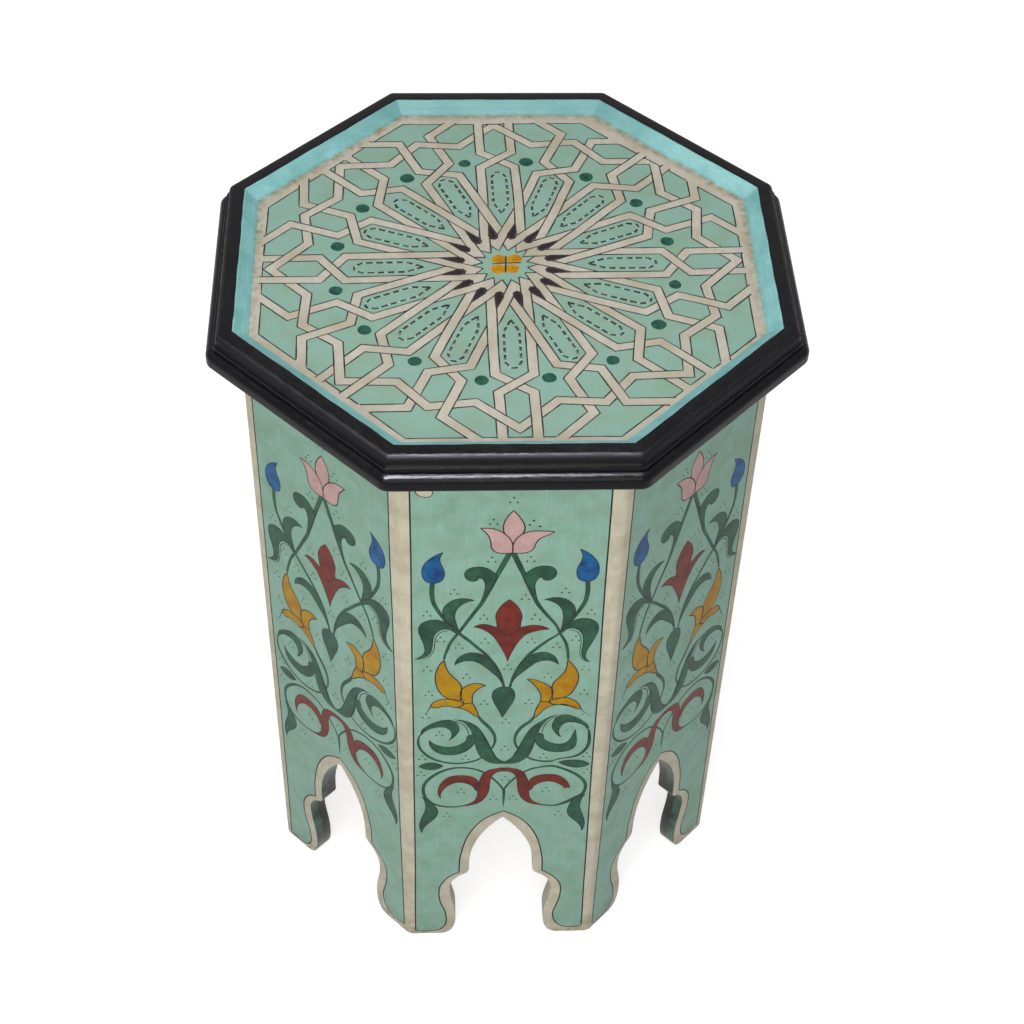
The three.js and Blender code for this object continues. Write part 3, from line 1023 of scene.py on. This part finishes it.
def off_path(place, path):
    """The distance from a place to the nearest point of a path."""
    nearest = 1e9
    for a, b in zip(path, path[1:]):
        run = (b[0] - a[0], b[1] - a[1])
        share = ((place[0] - a[0]) * run[0] + (place[1] - a[1]) * run[1]) / (run[0] ** 2 + run[1] ** 2)
        share = min(1, max(0, share))
        nearest = min(nearest, math.dist(place, (a[0] + run[0] * share, a[1] + run[1] * share)))
    return nearest


def inside_border(place, reach=0.0):
    """Whether a place lies inside the border line, or no further beyond it than reach."""
    for a, b in zip(BORDER_LINE, BORDER_LINE[1:] + BORDER_LINE[:1]):
        side = (place[0] - a[0]) * (b[1] - a[1]) - (place[1] - a[1]) * (b[0] - a[0])
        if side / math.dist(a, b) < -reach:
            return False
    return True


def shown_runs(path, covers, reach=0.0, dash=None):
    """The stretches of a path inside the border that no ribbon covers, or dashes of it."""
    runs, run, walked = [], [], 0.0
    for a, b in zip(path, path[1:]):
        steps = max(1, round(math.dist(a, b) / WALK_STEP))
        for i in range(steps + 1):
            place = (a[0] + (b[0] - a[0]) * i / steps, a[1] + (b[1] - a[1]) * i / steps)
            walked += math.dist(a, b) / steps if i else 0
            covered = any(off_path(place, cover) < RIBBON_HALF - LEAST_GAP for cover in covers)
            gap = dash and walked % sum(dash) > dash[0]
            if covered or gap or not inside_border(place, reach):
                runs.append(run)
                run = []
            else:
                run.append((place, i in (0, steps) or i % KEPT_STEPS == 0))
    runs.append(run)
    kept = []
    for run in runs:
        if len(run) > 2:
            ends = [run[0][0]] + [place for place, needed in run[1:-1] if needed] + [run[-1][0]]
            far = [q is None or math.dist(p, q) > LEAST_GAP for p, q in zip(ends, ends[1:] + [None])]
            kept.append([p for p, apart in zip(ends, far) if apart])
    return [run for run in kept if len(run) > 1]


LEFT_ARMS = [arm(ray, 1) for ray in range(RAYS)]
RIGHT_ARMS = [arm(ray, -1) for ray in range(RAYS)]
RING = ring()
RING_PATH = RING + RING[:1]


def edge_lines():
    """All the ink lines that edge the ribbons, cut where they pass under."""
    lines = []
    for ray in range(RAYS):
        turn = len(LEFT_ARMS[ray]) - 1
        mate = (ray + 3) % RAYS
        for half in (RIBBON_HALF, -RIBBON_HALF):
            line = beside(ribbon(ray), half)
            reach = 1.2 + 1.6 * math.sin(ray * 2.4 + half)  # each line ends at its own place on the border
            over_left = [RIGHT_ARMS[(ray + 1) % RAYS], RING_PATH]
            lines += shown_runs(line[:turn + 1], over_left, reach)
            over_right = [LEFT_ARMS[mate], LEFT_ARMS[mate - 2]]
            lines += shown_runs(line[turn:], over_right, reach)
    for half in (RIBBON_HALF, -RIBBON_HALF):
        line = beside(RING, half, closed=True)
        lines += shown_runs(line + line[:1], RIGHT_ARMS)
    return lines


def inked(lines, half_width, seed):
    """Lines with the uneven width of a pointed brush."""
    hand = random.Random(seed)
    return [[(x, y, half_width * hand.uniform(0.75, 1.25)) for x, y in line] for line in lines]


star_lines = edge_lines()
print("ink lines on the star:", len(star_lines))

# %% [markdown]
# The top is painted from the ground up: a cream coat, the mint field inside the border line, the cream
# ribbons over it, then the darts, the dots and the little flower in the middle, and all the ink at the end.

# %% Paint the top
DASH, DASH_GAP = 4.7, 1.7
# A dart and a kite, along their ray and aside of it, with a 1 for a sharp corner.
DART = [
    (26.4, 0), (27.6, 2.6, 1), (31, 3.2), (34.5, 2.5), (45, 0, 1), (34.5, -2.5), (31, -3.2),
    (27.6, -2.6, 1),
]
KITE = [(53, 0), (64, 4.8), (92, 4.9), (97, 1.6), (97, -1.6), (92, -4.9), (64, -4.8), (53, 0)]


def drift(mesh, seed, amount, span):
    """Move a drawing's points by a slow unsteady field, as a hand drifts from a true layout."""
    hand = random.Random(seed)
    waves = [[hand.uniform(0.6, 1.4), hand.uniform(0.6, 1.4), hand.uniform(0, math.tau)] for _ in range(6)]
    for vertex in mesh.vertices:
        x, y = vertex.co.x / (span * MM), vertex.co.y / (span * MM)
        # three waves move a point across, and three that cross them move it up
        shift = [
            sum(math.sin(a * x * math.tau + b * y * math.tau * way + c) for a, b, c in waves[i:i + 3]) / 3
            for i, way in ((0, 1), (3, -1))
        ]
        vertex.co.x += shift[0] * amount * MM
        vertex.co.y += shift[1] * amount * MM


def oval(x, y, wide, high, corners, turn=0.0):
    """The outline of a round touch of the brush."""
    angles = [i * math.tau / corners + turn for i in range(corners)]
    return [(x + wide * math.cos(a), y + high * math.sin(a)) for a in angles]


def star_painting():
    """The whole painting of the top, in millimetres round the centre."""
    films = [fill([BORDER_LINE], 0.4, mint_top, poly=True)]
    for ray in range(RAYS):
        path = ribbon(ray)
        outline = beside(path, RIBBON_HALF) + beside(path, -RIBBON_HALF)[::-1]
        films.append(fill([outline], 0.9 + 0.05 * ray, cream_top, poly=True))
    outer, inner = beside(RING, RIBBON_HALF, closed=True), beside(RING, -RIBBON_HALF, closed=True)
    films.append(fill([outer, inner], 1.9, cream_top, poly=True))
    darts = [[by_ray(i + 0.5, p[0], p[1]) + tuple(p[2:]) for p in DART] for i in range(RAYS)]
    films.append(fill(darts, 2.0, charcoal))
    # One dot between each two rays, a round touch that never comes out quite the same.
    hand = random.Random(16)
    dots = []
    for i in range(RAYS):
        x, y = by_ray(i + 0.5, hand.uniform(108, 111), hand.uniform(-1, 1))
        size = hand.uniform(4.1, 5.0)
        dots.append([
            (x + size * hand.uniform(0.93, 1.06) * across, y + size * hand.uniform(0.93, 1.06) * up)
            for across, up in oval(0, 0, 1, 1, 9)
        ])
    films.append(fill(dots, 0.8, dot_green))
    # A kite on each ray: a fine white line with black dashes along it.
    kites = [[by_ray(ray, *p) for p in KITE] for ray in range(RAYS)]
    dashes = [dash for path in kites for dash in shown_runs(path, [], dash=(DASH, DASH_GAP))]
    films.append(draw([[(x, y, 0.3) for x, y in path] for path in kites], 0.5, dash_white, poly=True))
    films.append(draw(inked(dashes, 0.75, 3), 1.7, ink, poly=True))
    lines = star_lines + shown_runs(BORDER_LINE + BORDER_LINE[:1], LEFT_ARMS + RIGHT_ARMS, reach=1)
    films.append(draw(inked(lines, 0.45, 4), 2.4, ink, poly=True))
    # Four orange petals round a cross: where each lies, and its radius.
    petals = [(-3.6, 6, 4.6), (6.4, 6, 4.9), (-4.7, -4, 4.8), (4.6, -3.6, 4.6)]
    for i, (x, y, size) in enumerate(petals):
        for grow, film, material in ((0.8, 0.8, halo_olive), (0, 1.2 + 0.1 * i, heart_orange)):
            petal = oval(x, y, size + grow, (size + grow) * 0.93, 8, 0.3)
            films.append(fill([petal], film + 0.02 * i, material))
    cross = [
        [(-8, 1.3, 0.5), (1, 2.1, 0.6), (10.5, 2.2, 0.5)], [(1, 9, 0.55), (0.6, 1, 0.6), (0, -7.5, 0.6)],
    ]
    films.append(draw(cross, 2.2, ink))
    marks = [[(x, y + 0.8, 0.35), (x, y - 0.8, 0.3)] for x, y in ((-4, 6), (6, 5), (5, -3), (-5, -4))]
    films.append(draw(marks, 2.2, petal_red, poly=True))
    return joined("star_painting", films)


# Green for the dots: leaf green with more blue in it, put down in one round touch.
dot_green = brushed_paint(
    "dot_green_paint", "#26594A", "#346A57", "#1C463A", "#2C5446", DABBED, 0.5, gloss=0.04, cloud=5,
)
# Olive halo: the thin edge where the orange was let down with water.
halo_olive = brushed_paint(
    "thin_olive_wash", "#A3B08C", "#AFBA9C", "#9CA67A", "#A8A878", DABBED, 0.45, cloud=5,
)
# White for the fine line that the dashes lie on.
dash_white = brushed_paint(
    "dash_white_paint", "#B9CABC", "#C8D4C8", "#ABC0B0", "#BCC8B8", DABBED, 0.45, cloud=9,
)
star = star_painting()
drift(star.data, 21, 0.7, 120)
corner = RIM_INNER / MM / math.cos(HALF_EIGHTH)
octagon = oval(0, 0, corner, corner, 8, HALF_EIGHTH)
star = joined("star_painting", [star, fill([octagon], 0, cream_top, poly=True)])
star.data.transform(Matrix.Translation((0, 0, TOP_FACE)))
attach(star, "root")

# %% [markdown]
# Each side has the same drawing: a lotus, two blue buds, a red tulip, two yellow lilies, a heart, and
# scrolls below. It is symmetrical, so only the left half is written down, as points in millimetres from the
# middle of the board and up from the floor, and a helper mirrors it. A 1 marks a sharp corner or a tip.

# %% Leaves and flowers on the left half
HOOK_LEAF = [
    (-18, 391, 1), (-16.2, 400), (-15.6, 408), (-17, 412.5), (-19.3, 414.6), (-20.6, 412.3), (-23.5, 411.2),
    (-27, 413.2), (-28.6, 418), (-26.8, 422.3), (-22, 424.7), (-16, 424), (-11.5, 420.5), (-8.5, 416.5),
    (-9.5, 411), (-12, 404), (-15, 397),
]
HORN_LEAF = [
    (-22, 393, 1), (-28, 394.8), (-34, 394), (-38.8, 390.3), (-41.8, 385), (-42, 379), (-40.5, 373),
    (-36, 366.5), (-32, 362, 1), (-33.3, 369), (-34.5, 376), (-33.6, 383), (-30.5, 388.2), (-26, 391.5),
]
DROOPING_LEAF = [
    (-60, 335, 1), (-55.5, 336.3), (-51.5, 339.5), (-49.7, 346), (-49, 353), (-47.5, 359.5), (-43.5, 364),
    (-39, 364.5), (-34, 360.5, 1), (-32.5, 363.5), (-38, 369.5), (-43, 373), (-48, 374.2), (-53, 373),
    (-57, 369), (-58, 362.5), (-56.5, 355.5), (-54.8, 348.5), (-54.5, 342), (-56.5, 338),
]
ARM_LEAF = [
    (-35, 328, 1), (-33.5, 333.5), (-30, 338), (-25, 340.5), (-19.5, 340), (-14, 336.5), (-9.5, 330),
    (-6, 321), (-3, 308, 1), (-6, 314.5), (-10.5, 320.5), (-15.5, 326.5), (-20.5, 331), (-26, 332.3),
    (-31, 331),
]
UPPER_CRESCENT = [
    (-38.5, 246.5, 1), (-36.7, 250.5), (-36.6, 255.5), (-39, 260), (-43.5, 261.9), (-49, 261), (-54, 258),
    (-58, 252, 1), (-56.5, 259), (-52, 264), (-46.5, 267.8), (-40.5, 269.7), (-35.5, 268.5), (-32.3, 264),
    (-31.6, 258), (-33.7, 252.5), (-36.5, 248.5),
]
LOWER_CRESCENT = [
    (-52, 247, 1), (-49.3, 243.5), (-45, 240.7), (-40, 239.2), (-35, 239.6), (-30.5, 242), (-26.8, 246),
    (-25, 252), (-20, 252, 1), (-20.5, 245), (-23, 238.5), (-27.5, 233.3), (-33, 230.5), (-39, 229.9),
    (-45, 232), (-49.5, 236.5), (-51.5, 241.5),
]
LOZENGE_LEAF = [
    (-59.5, 217, 1), (-56, 220), (-51, 221.3), (-46, 220), (-42.3, 217.2, 1), (-46, 214), (-51, 212.8),
    (-56, 214.3),
]
HANGING_LEAF = [
    (-57.3, 181, 1), (-55.5, 175), (-54.8, 169), (-55.5, 163), (-57.3, 157), (-59, 150), (-59.5, 143),
    (-58, 136, 1), (-57, 141), (-54.5, 146), (-51, 150.5), (-48, 155), (-46.3, 160.5), (-47, 166),
    (-49.5, 171.5), (-53, 176.5),
]
HEART_BUD = [
    (-2.2, 305), (-7.5, 302.5), (-9.8, 297), (-9, 290.5), (-6.5, 283.5), (-4, 276.5), (-2.5, 271.5, 1),
    (-0.5, 276.5), (2, 283), (4.7, 290), (5.4, 297), (3.3, 302.5),
]
BLUE_BUD = [
    (-42.3, 438.5, 1), (-47, 435.5), (-51.5, 431), (-54.3, 426), (-55.2, 420), (-54.5, 415), (-52, 411),
    (-49.5, 410), (-46, 410), (-43, 412), (-41.2, 417), (-41.5, 422), (-43.5, 428), (-44, 433), (-42.8, 437),
]
LOTUS_MIDDLE = [
    (0.7, 475.5, 1), (-3.3, 469), (-5.4, 462), (-4.8, 455.5), (-2.3, 449.5), (0.7, 445, 1), (3.7, 449.5),
    (6.2, 455.5), (6.8, 462), (4.7, 469),
]
LOTUS_PETAL = [
    (-19.5, 460, 1), (-12, 459.5), (-7, 457), (-3.4, 453.5), (-0.6, 449), (0.7, 443.5), (0.7, 437.5, 1),
    (-4, 437), (-9, 438), (-12, 441), (-13, 447), (-14.5, 453), (-17, 457),
]
TULIP_HALF = [
    (0, 393.5, 1), (-3.5, 389.5), (-6.8, 383.5), (-8.3, 377), (-7.6, 371), (-7.3, 366, 1), (-9.5, 367),
    (-14, 369), (-19, 368.8), (-22.3, 366.5, 1), (-18.5, 365.3), (-14.5, 362.5), (-11, 359), (-8, 354),
    (-5.5, 348.5), (-3, 342), (-1, 336), (0, 331.5, 1),
]
LILY_PETALS = [
    [
        (-41.8, 333.5, 1), (-45, 328), (-47, 321), (-47.7, 314), (-46.7, 306), (-44.5, 299.5), (-41.5, 295),
        (-38.5, 292.8), (-31, 290, 1), (-30.5, 295), (-30.3, 300), (-30.5, 306.5), (-32.8, 311.5), (-36, 316),
        (-39, 321), (-40.8, 327),
    ],
    [
        (-14.3, 306.5, 1), (-18, 308.3), (-22, 308.7), (-26, 307), (-29.8, 303), (-30.8, 296),
        (-28.5, 287.5, 1), (-22.8, 288, 1), (-23, 291.5), (-22.7, 296), (-21, 300.5), (-18, 304),
    ],
    [
        (-51, 284, 1), (-49.5, 288), (-46, 291), (-41, 292.3), (-36, 292), (-32, 290.5), (-28.5, 287.5, 1),
        (-31, 284), (-33, 283), (-37, 284.5), (-42, 284.7), (-47, 283),
    ],
    [
        (-33, 283.5, 1), (-28, 281), (-24, 277.5), (-21, 274), (-18, 271.5, 1), (-18.8, 276), (-20.5, 282),
        (-22.8, 288, 1), (-28, 287), (-31, 284),
    ],
]
RED_BAND = [
    (0.3, 213.3), (-6, 213), (-10.5, 211.5), (-14, 208), (-16, 203), (-17.2, 198), (-18, 192), (-18.2, 186),
    (-18.5, 181), (-20, 176), (-23.5, 172), (-31, 168.5, 1), (-23, 169.8), (-17.5, 172.5), (-13.5, 177.5),
    (-11, 184), (-10, 190), (-9.7, 197), (-9, 202), (-7.5, 206), (-4.5, 209), (0.3, 210.8),
]
RED_CRESCENT = [
    (-17.5, 197, 1), (-19, 200.5), (-22, 203.5), (-27, 205.3), (-32, 205.6), (-37, 204.6), (-41, 201.5),
    (-44, 196.5), (-45.8, 190.5), (-46, 184), (-44.2, 178, 1), (-44.5, 181), (-43.6, 186), (-41.5, 190.5),
    (-38, 194.5), (-33.5, 197), (-29, 197), (-25, 195.3), (-21.5, 192), (-18.2, 187),
]
print("outlines written down")

# %% Stems and lines on the left half
V_STEM = [
    (0, 440.5, 1.9), (-3, 432, 1.8), (-5.5, 425, 1.8), (-8, 418, 1.7), (-11, 409, 1.7), (-14, 400, 1.6),
    (-17.5, 390, 1.4), (-22.5, 380, 1.3), (-27.5, 370, 1.2), (-31, 363, 1.15), (-35.5, 355, 1.1),
    (-37.8, 350, 1.1), (-39.3, 345, 1.1), (-40.8, 340, 1.0), (-42, 334, 0.9),
]
BUD_STEM = [
    (-48.5, 411, 1.6), (-49, 403, 1.6), (-48.7, 395, 1.5), (-47.8, 390, 1.4), (-46, 385, 1.4),
    (-43.8, 380, 1.3), (-41.3, 375, 1.3), (-38, 370, 1.25), (-33, 362, 1.25), (-30, 358, 1.25),
    (-26, 353.5, 1.25), (-22.5, 349, 1.2), (-19, 344.5, 1.2), (-15, 339.5, 1.2), (-11, 333, 1.1),
    (-8, 327, 1.1), (-5.5, 320.5, 1.0), (-3.5, 313, 1.0), (-2, 304, 0.9),
]
SPIRAL = [
    (-18.3, 273, 0.9), (-16, 268, 1.3), (-13, 263.5, 1.4), (-9, 256.5, 1.3), (-7, 249.5, 1.1),
    (-7, 243, 0.9), (-9, 236.5, 0.8), (-12, 231, 0.8), (-17.5, 224.5, 0.85), (-23, 221.5, 0.9),
    (-30, 220, 0.95), (-36, 220, 1.0), (-43, 222, 1.0), (-50, 226, 1.1), (-55, 231.5, 1.1),
    (-58.5, 238.5, 1.0), (-59.5, 246, 0.9), (-58.5, 253, 0.5),
]
S_STEM = [
    (-35, 270, 0.3), (-28, 267.5, 1.2), (-23, 262.5, 2.6), (-20, 257, 3.4), (-18, 250, 4.3),
    (-16, 243, 4.7), (-14.3, 236, 5.2), (-12, 229.5, 5.3), (-7.5, 223, 4), (0.3, 219.5, 1.2),
]
OVAL_STEM = [
    (0.3, 187, 0.8), (-1.5, 191, 0.8), (-4, 196, 0.8), (-7.5, 201, 0.85), (-11, 206, 0.85),
    (-15, 209.3, 0.85), (-19, 212, 0.9), (-25, 214, 0.9), (-31, 214.8, 1.0), (-37, 213.8, 1.1),
    (-43, 211, 1.2), (-48.5, 206.5, 1.3), (-53, 201, 1.3), (-55.8, 195, 1.3), (-56.5, 188.5, 1.2),
    (-55.5, 181.5, 1.1), (-52.5, 175.5, 1.0), (-48, 171, 0.9), (-42, 168.5, 0.85), (-36, 167.8, 0.8),
    (-30, 168.6, 0.7), (-24, 170.5, 0.4),
]
TAIL = [(0.4, 188, 1.1), (0.4, 176, 0.9), (0.3, 166, 0.1)]
FINE_LINES = [
    [(-21.5, 416.8, 0.3), (-20, 415.6, 0.35), (-18.6, 413.6, 0.3)],
    [(-61, 334.2, 0.25), (-56.2, 335, 0.3), (-51.2, 337.6, 0.3), (-48.4, 345, 0.3), (-47.6, 352.5, 0.3),
     (-46, 358.6, 0.3), (-42.8, 362.2, 0.3), (-39.2, 362.8, 0.25)],
    [(-7.3, 366, 0.35), (-4.6, 362, 0.35), (-2, 359, 0.35), (1.6, 356.8, 0.25)],
    [(-34, 268, 0.3), (-29, 264.5, 0.35), (-26, 259, 0.35), (-25, 253, 0.3)],
    [(-51, 284, 0.35), (-53.5, 277, 0.2)],
]
DOT_TRIOS = [
    (-11.5, 465), (-12, 431), (-35, 401), (-52.5, 380), (-16, 376), (-44, 354), (-15, 352), (-32, 347),
    (-27, 316), (-53, 324), (-52, 298), (-15, 288), (-54, 274), (-45, 254), (-57, 227), (-27, 226),
    (-58, 208), (-30, 187), (-7, 178), (-40, 158),
]
MIDDLE_TRIOS = [(0.7, 484), (10, 395), (0, 325), (0, 267), (0, 236), (1, 201)]
print("stems written down")

# %% Paint one side's flowers
FINE_INK, PETAL_INK, LILY_INK = 0.28, 0.4, 0.42
DOT_SIZE = 0.72


def both(points, middle=0.0):
    """An outline or line of the left half and its mirror image."""
    return [points, [(2 * middle - p[0],) + tuple(p[1:]) for p in points]]


def whole(half):
    """A closed outline from its left half, written from its top point to its lowest."""
    return half + [(-p[0],) + tuple(p[1:]) for p in half[-2:0:-1]]


def outlined(outlines, half_width):
    """The same outlines as ink lines, with a corner kept a corner."""
    return [[(p[0], p[1], half_width) + tuple(p[2:]) for p in points] for points in outlines]


def trio(x, y):
    """Three small dots in a triangle."""
    return [(x - 2.2, y - 1.5), (x + 2.3, y - 1.7), (x + 0.1, y + 2.4)]


def flower_model():
    """The drawing of one side, in millimetres, lying flat, with the film level of each part."""
    stems = [
        (both(SPIRAL), 0.6), (both(OVAL_STEM), 0.65), (both(V_STEM), 0.7), ([TAIL], 0.75),
        (both(BUD_STEM), 1.8), (both(S_STEM), 1.9),
    ]
    leaves = [
        (HOOK_LEAF, 3.2), (HORN_LEAF, 3.1), (ARM_LEAF, 3.1), (DROOPING_LEAF, 3.3), (UPPER_CRESCENT, 3.2),
        (LOWER_CRESCENT, 3.3), (LOZENGE_LEAF, 3.1), (HANGING_LEAF, 3.1),
    ]
    films = [draw(lines, level, leaf_green) for lines, level in stems]
    films += [fill(both(outline), level, leaf_green) for outline, level in leaves]
    films += [
        fill([HEART_BUD], 3.4, leaf_green), fill(both(BLUE_BUD), 3.1, bud_blue),
        fill([whole(TULIP_HALF)], 3.2, petal_red), fill(both(RED_CRESCENT), 3.3, petal_red),
    ]
    films += [fill([side], 3.4 + 0.1 * i, petal_red) for i, side in enumerate(both(RED_BAND))]
    films.append(fill([LOTUS_MIDDLE], 0.8, petal_pink))
    films.append(draw(outlined([LOTUS_MIDDLE], PETAL_INK), 1, ink, closed=True))
    films += [fill([side], 3.2 + 0.1 * i, petal_pink) for i, side in enumerate(both(LOTUS_PETAL, 0.7))]
    films.append(draw(outlined(both(LOTUS_PETAL, 0.7), PETAL_INK), 4, ink, closed=True))
    for i, petal in enumerate(LILY_PETALS):
        films.append(fill(both(petal), 3.4 + 0.1 * i, lily_yellow))
        films.append(draw(outlined(both(petal), LILY_INK), 4, ink, closed=True))
    edged = [outline for outline, level in leaves] + [BLUE_BUD, RED_BAND, RED_CRESCENT]
    edges = [line for outline in edged for line in outlined(both(outline), FINE_INK)]
    edges += outlined([HEART_BUD, whole(TULIP_HALF)], FINE_INK)
    films.append(draw(edges, 3.9, ink, closed=True))
    for line in FINE_LINES:
        films.append(draw(both(line), 4.1, ink))
    places = [spot for x, y in DOT_TRIOS for side in (-1, 1) for spot in trio(-side * x, y)]
    places += [spot for x, y in MIDDLE_TRIOS for spot in trio(x, y)]
    dots = [oval(x, y, DOT_SIZE, DOT_SIZE, 7) for x, y in places]
    films.append(fill(dots, 1, ink, poly=True))
    return joined("flower_model", films)


flowers = flower_model()

# %% [markdown]
# Under the flowers lies the mint field with its ink line. The field's foot follows the arch at a few
# millimetres, so its outline is written down whole, left and right, as it differs a little on each side.

# %% Paint one side's field
FIELD = [
    (-62, 512.5, 1), (-62.3, 400), (-62.8, 250), (-63.2, 100), (-64, 20), (-64, 4.5, 1), (-57, 3.6),
    (-50, 4), (-46, 5.5), (-43, 9), (-41, 14), (-40.5, 20), (-41, 28), (-42.5, 35), (-44.5, 42),
    (-45.7, 50), (-46, 57), (-45.2, 65), (-43, 71), (-39.8, 76.5), (-35, 81.5), (-31, 84, 1),
    (-30.8, 90), (-30.5, 100), (-29.7, 107), (-27.5, 120), (-24, 133), (-19, 144), (-13, 152.5), (-7, 157.5),
    (0.5, 162, 1), (7, 157.8), (13, 152.5), (19, 144), (24, 133), (27.5, 120), (29.7, 107), (30.5, 100),
    (30.8, 92), (30.8, 85, 1), (37.5, 79), (42, 73), (45, 66), (45.8, 57), (45, 47), (43, 37), (41, 27),
    (41.5, 20), (43.5, 13.5), (47, 9), (52, 6.5), (58, 6.6), (63.6, 8, 1), (63.6, 20), (63, 60), (62, 150),
    (61, 300), (60, 430), (59.5, 512.5, 1),
]
CREAM_SPOT = [
    (-58.4, 492), (-56, 489), (-53, 487.8), (-50, 488.2), (-48.3, 491), (-49.5, 495), (-53, 497),
    (-57, 495.5),
]


def field_model():
    """The mint field of one side with its ink line and a spot of cream near the moulding."""
    films = [
        fill([FIELD], 0, mint_board),
        draw(outlined([FIELD], 0.52), 0.4, ink, closed=True),
        fill([CREAM_SPOT], 0.3, cream_board),
        draw(outlined([CREAM_SPOT], 0.3), 0.5, ink, closed=True),
    ]
    return joined("field_model", films)


field = field_model()

# %% [markdown]
# One hand painted all eight sides, and no two came out alike. So each side gets a copy of the drawing that
# slow waves move by about a millimetre. The front drifts least, and there the right half also leaves the
# mirror image where the real one does.

# %% Carry the painting to all eight sides
# How far the hand drifts, in millimetres, on the front and on every other side.
FLOWER_DRIFT = (0.3, 1.1)
FIELD_DRIFT = (0.15, 0.4)
# Where the front's right half differs from its left: at x and height, moved by across and up, over a span.
HAND_PULLS = [
    (42, 438, 0.5, 2, 14), (20, 460, 5.5, -3.5, 7), (22.5, 366.5, 4.2, -2.7, 7), (42, 333, -1.7, -0.5, 8),
    (14.3, 306.5, -1, 6, 5), (51, 284, -0.5, -5.5, 7), (18, 271, 0.5, -2.5, 6), (40, 268, 0.5, 4, 12),
    (52, 247, -4, 9, 6), (38, 230, 0, 1.6, 10), (44.2, 178, -2.2, 10, 5), (57, 189, 1.6, 1, 12),
    (60, 335, -6, -4, 7), (42.3, 217.2, -4.5, 1.8, 5),
]


def pull(mesh):
    """Draw parts of the right half away from the true mirror image."""
    for vertex in mesh.vertices:
        x, y = vertex.co.x / MM, vertex.co.y / MM
        for px, py, across, up, span in HAND_PULLS:
            share = math.exp(-((x - px) ** 2 + (y - py) ** 2) / (2 * span * span))
            vertex.co.x += across * share * MM
            vertex.co.y += up * share * MM


def stand_up(mesh):
    """Turn a drawing that lies flat so that it stands on the front face of the boards."""
    mesh.transform(Matrix.Translation((0, -FACE, 0)) @ Matrix.Rotation(math.pi / 2, 4, "X"))


def vary_flowers(mesh, side):
    """Give each side's flowers their own slips of the hand."""
    if side == 0:
        pull(mesh)
    drift(mesh, 40 + side, FLOWER_DRIFT[side > 0], 170)
    stand_up(mesh)


def vary_field(mesh, side):
    """Give each side's field its own slightly wandering line."""
    drift(mesh, 60 + side, FIELD_DRIFT[side > 0], 190)
    stand_up(mesh)


set_round(flowers, "flower_painting", None, vary_flowers)
set_round(field, "mint_field", None, vary_field)
print("painted sides:", len(SIDES))

# %% [markdown]
# The wood inside and the fasteners keep the shapes that the CAD model gives them, and only need a finish.
# Each cleat lies along its side, so it takes the wood whose grain is turned that way.

# %% Finish the plain pieces
for name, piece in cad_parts.items():
    if name.startswith("cleat_"):
        finish = level_woods[SIDES.index(name.removeprefix("cleat_")) % 4]
    elif name == "top_board":
        finish = level_woods[0]
    elif "screw" in name or "pin" in name:
        finish = zinc_steel
    else:
        finish = upright_wood
    for holder in piece.material_slots:
        holder.material = finish
print("finished pieces:", len(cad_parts))
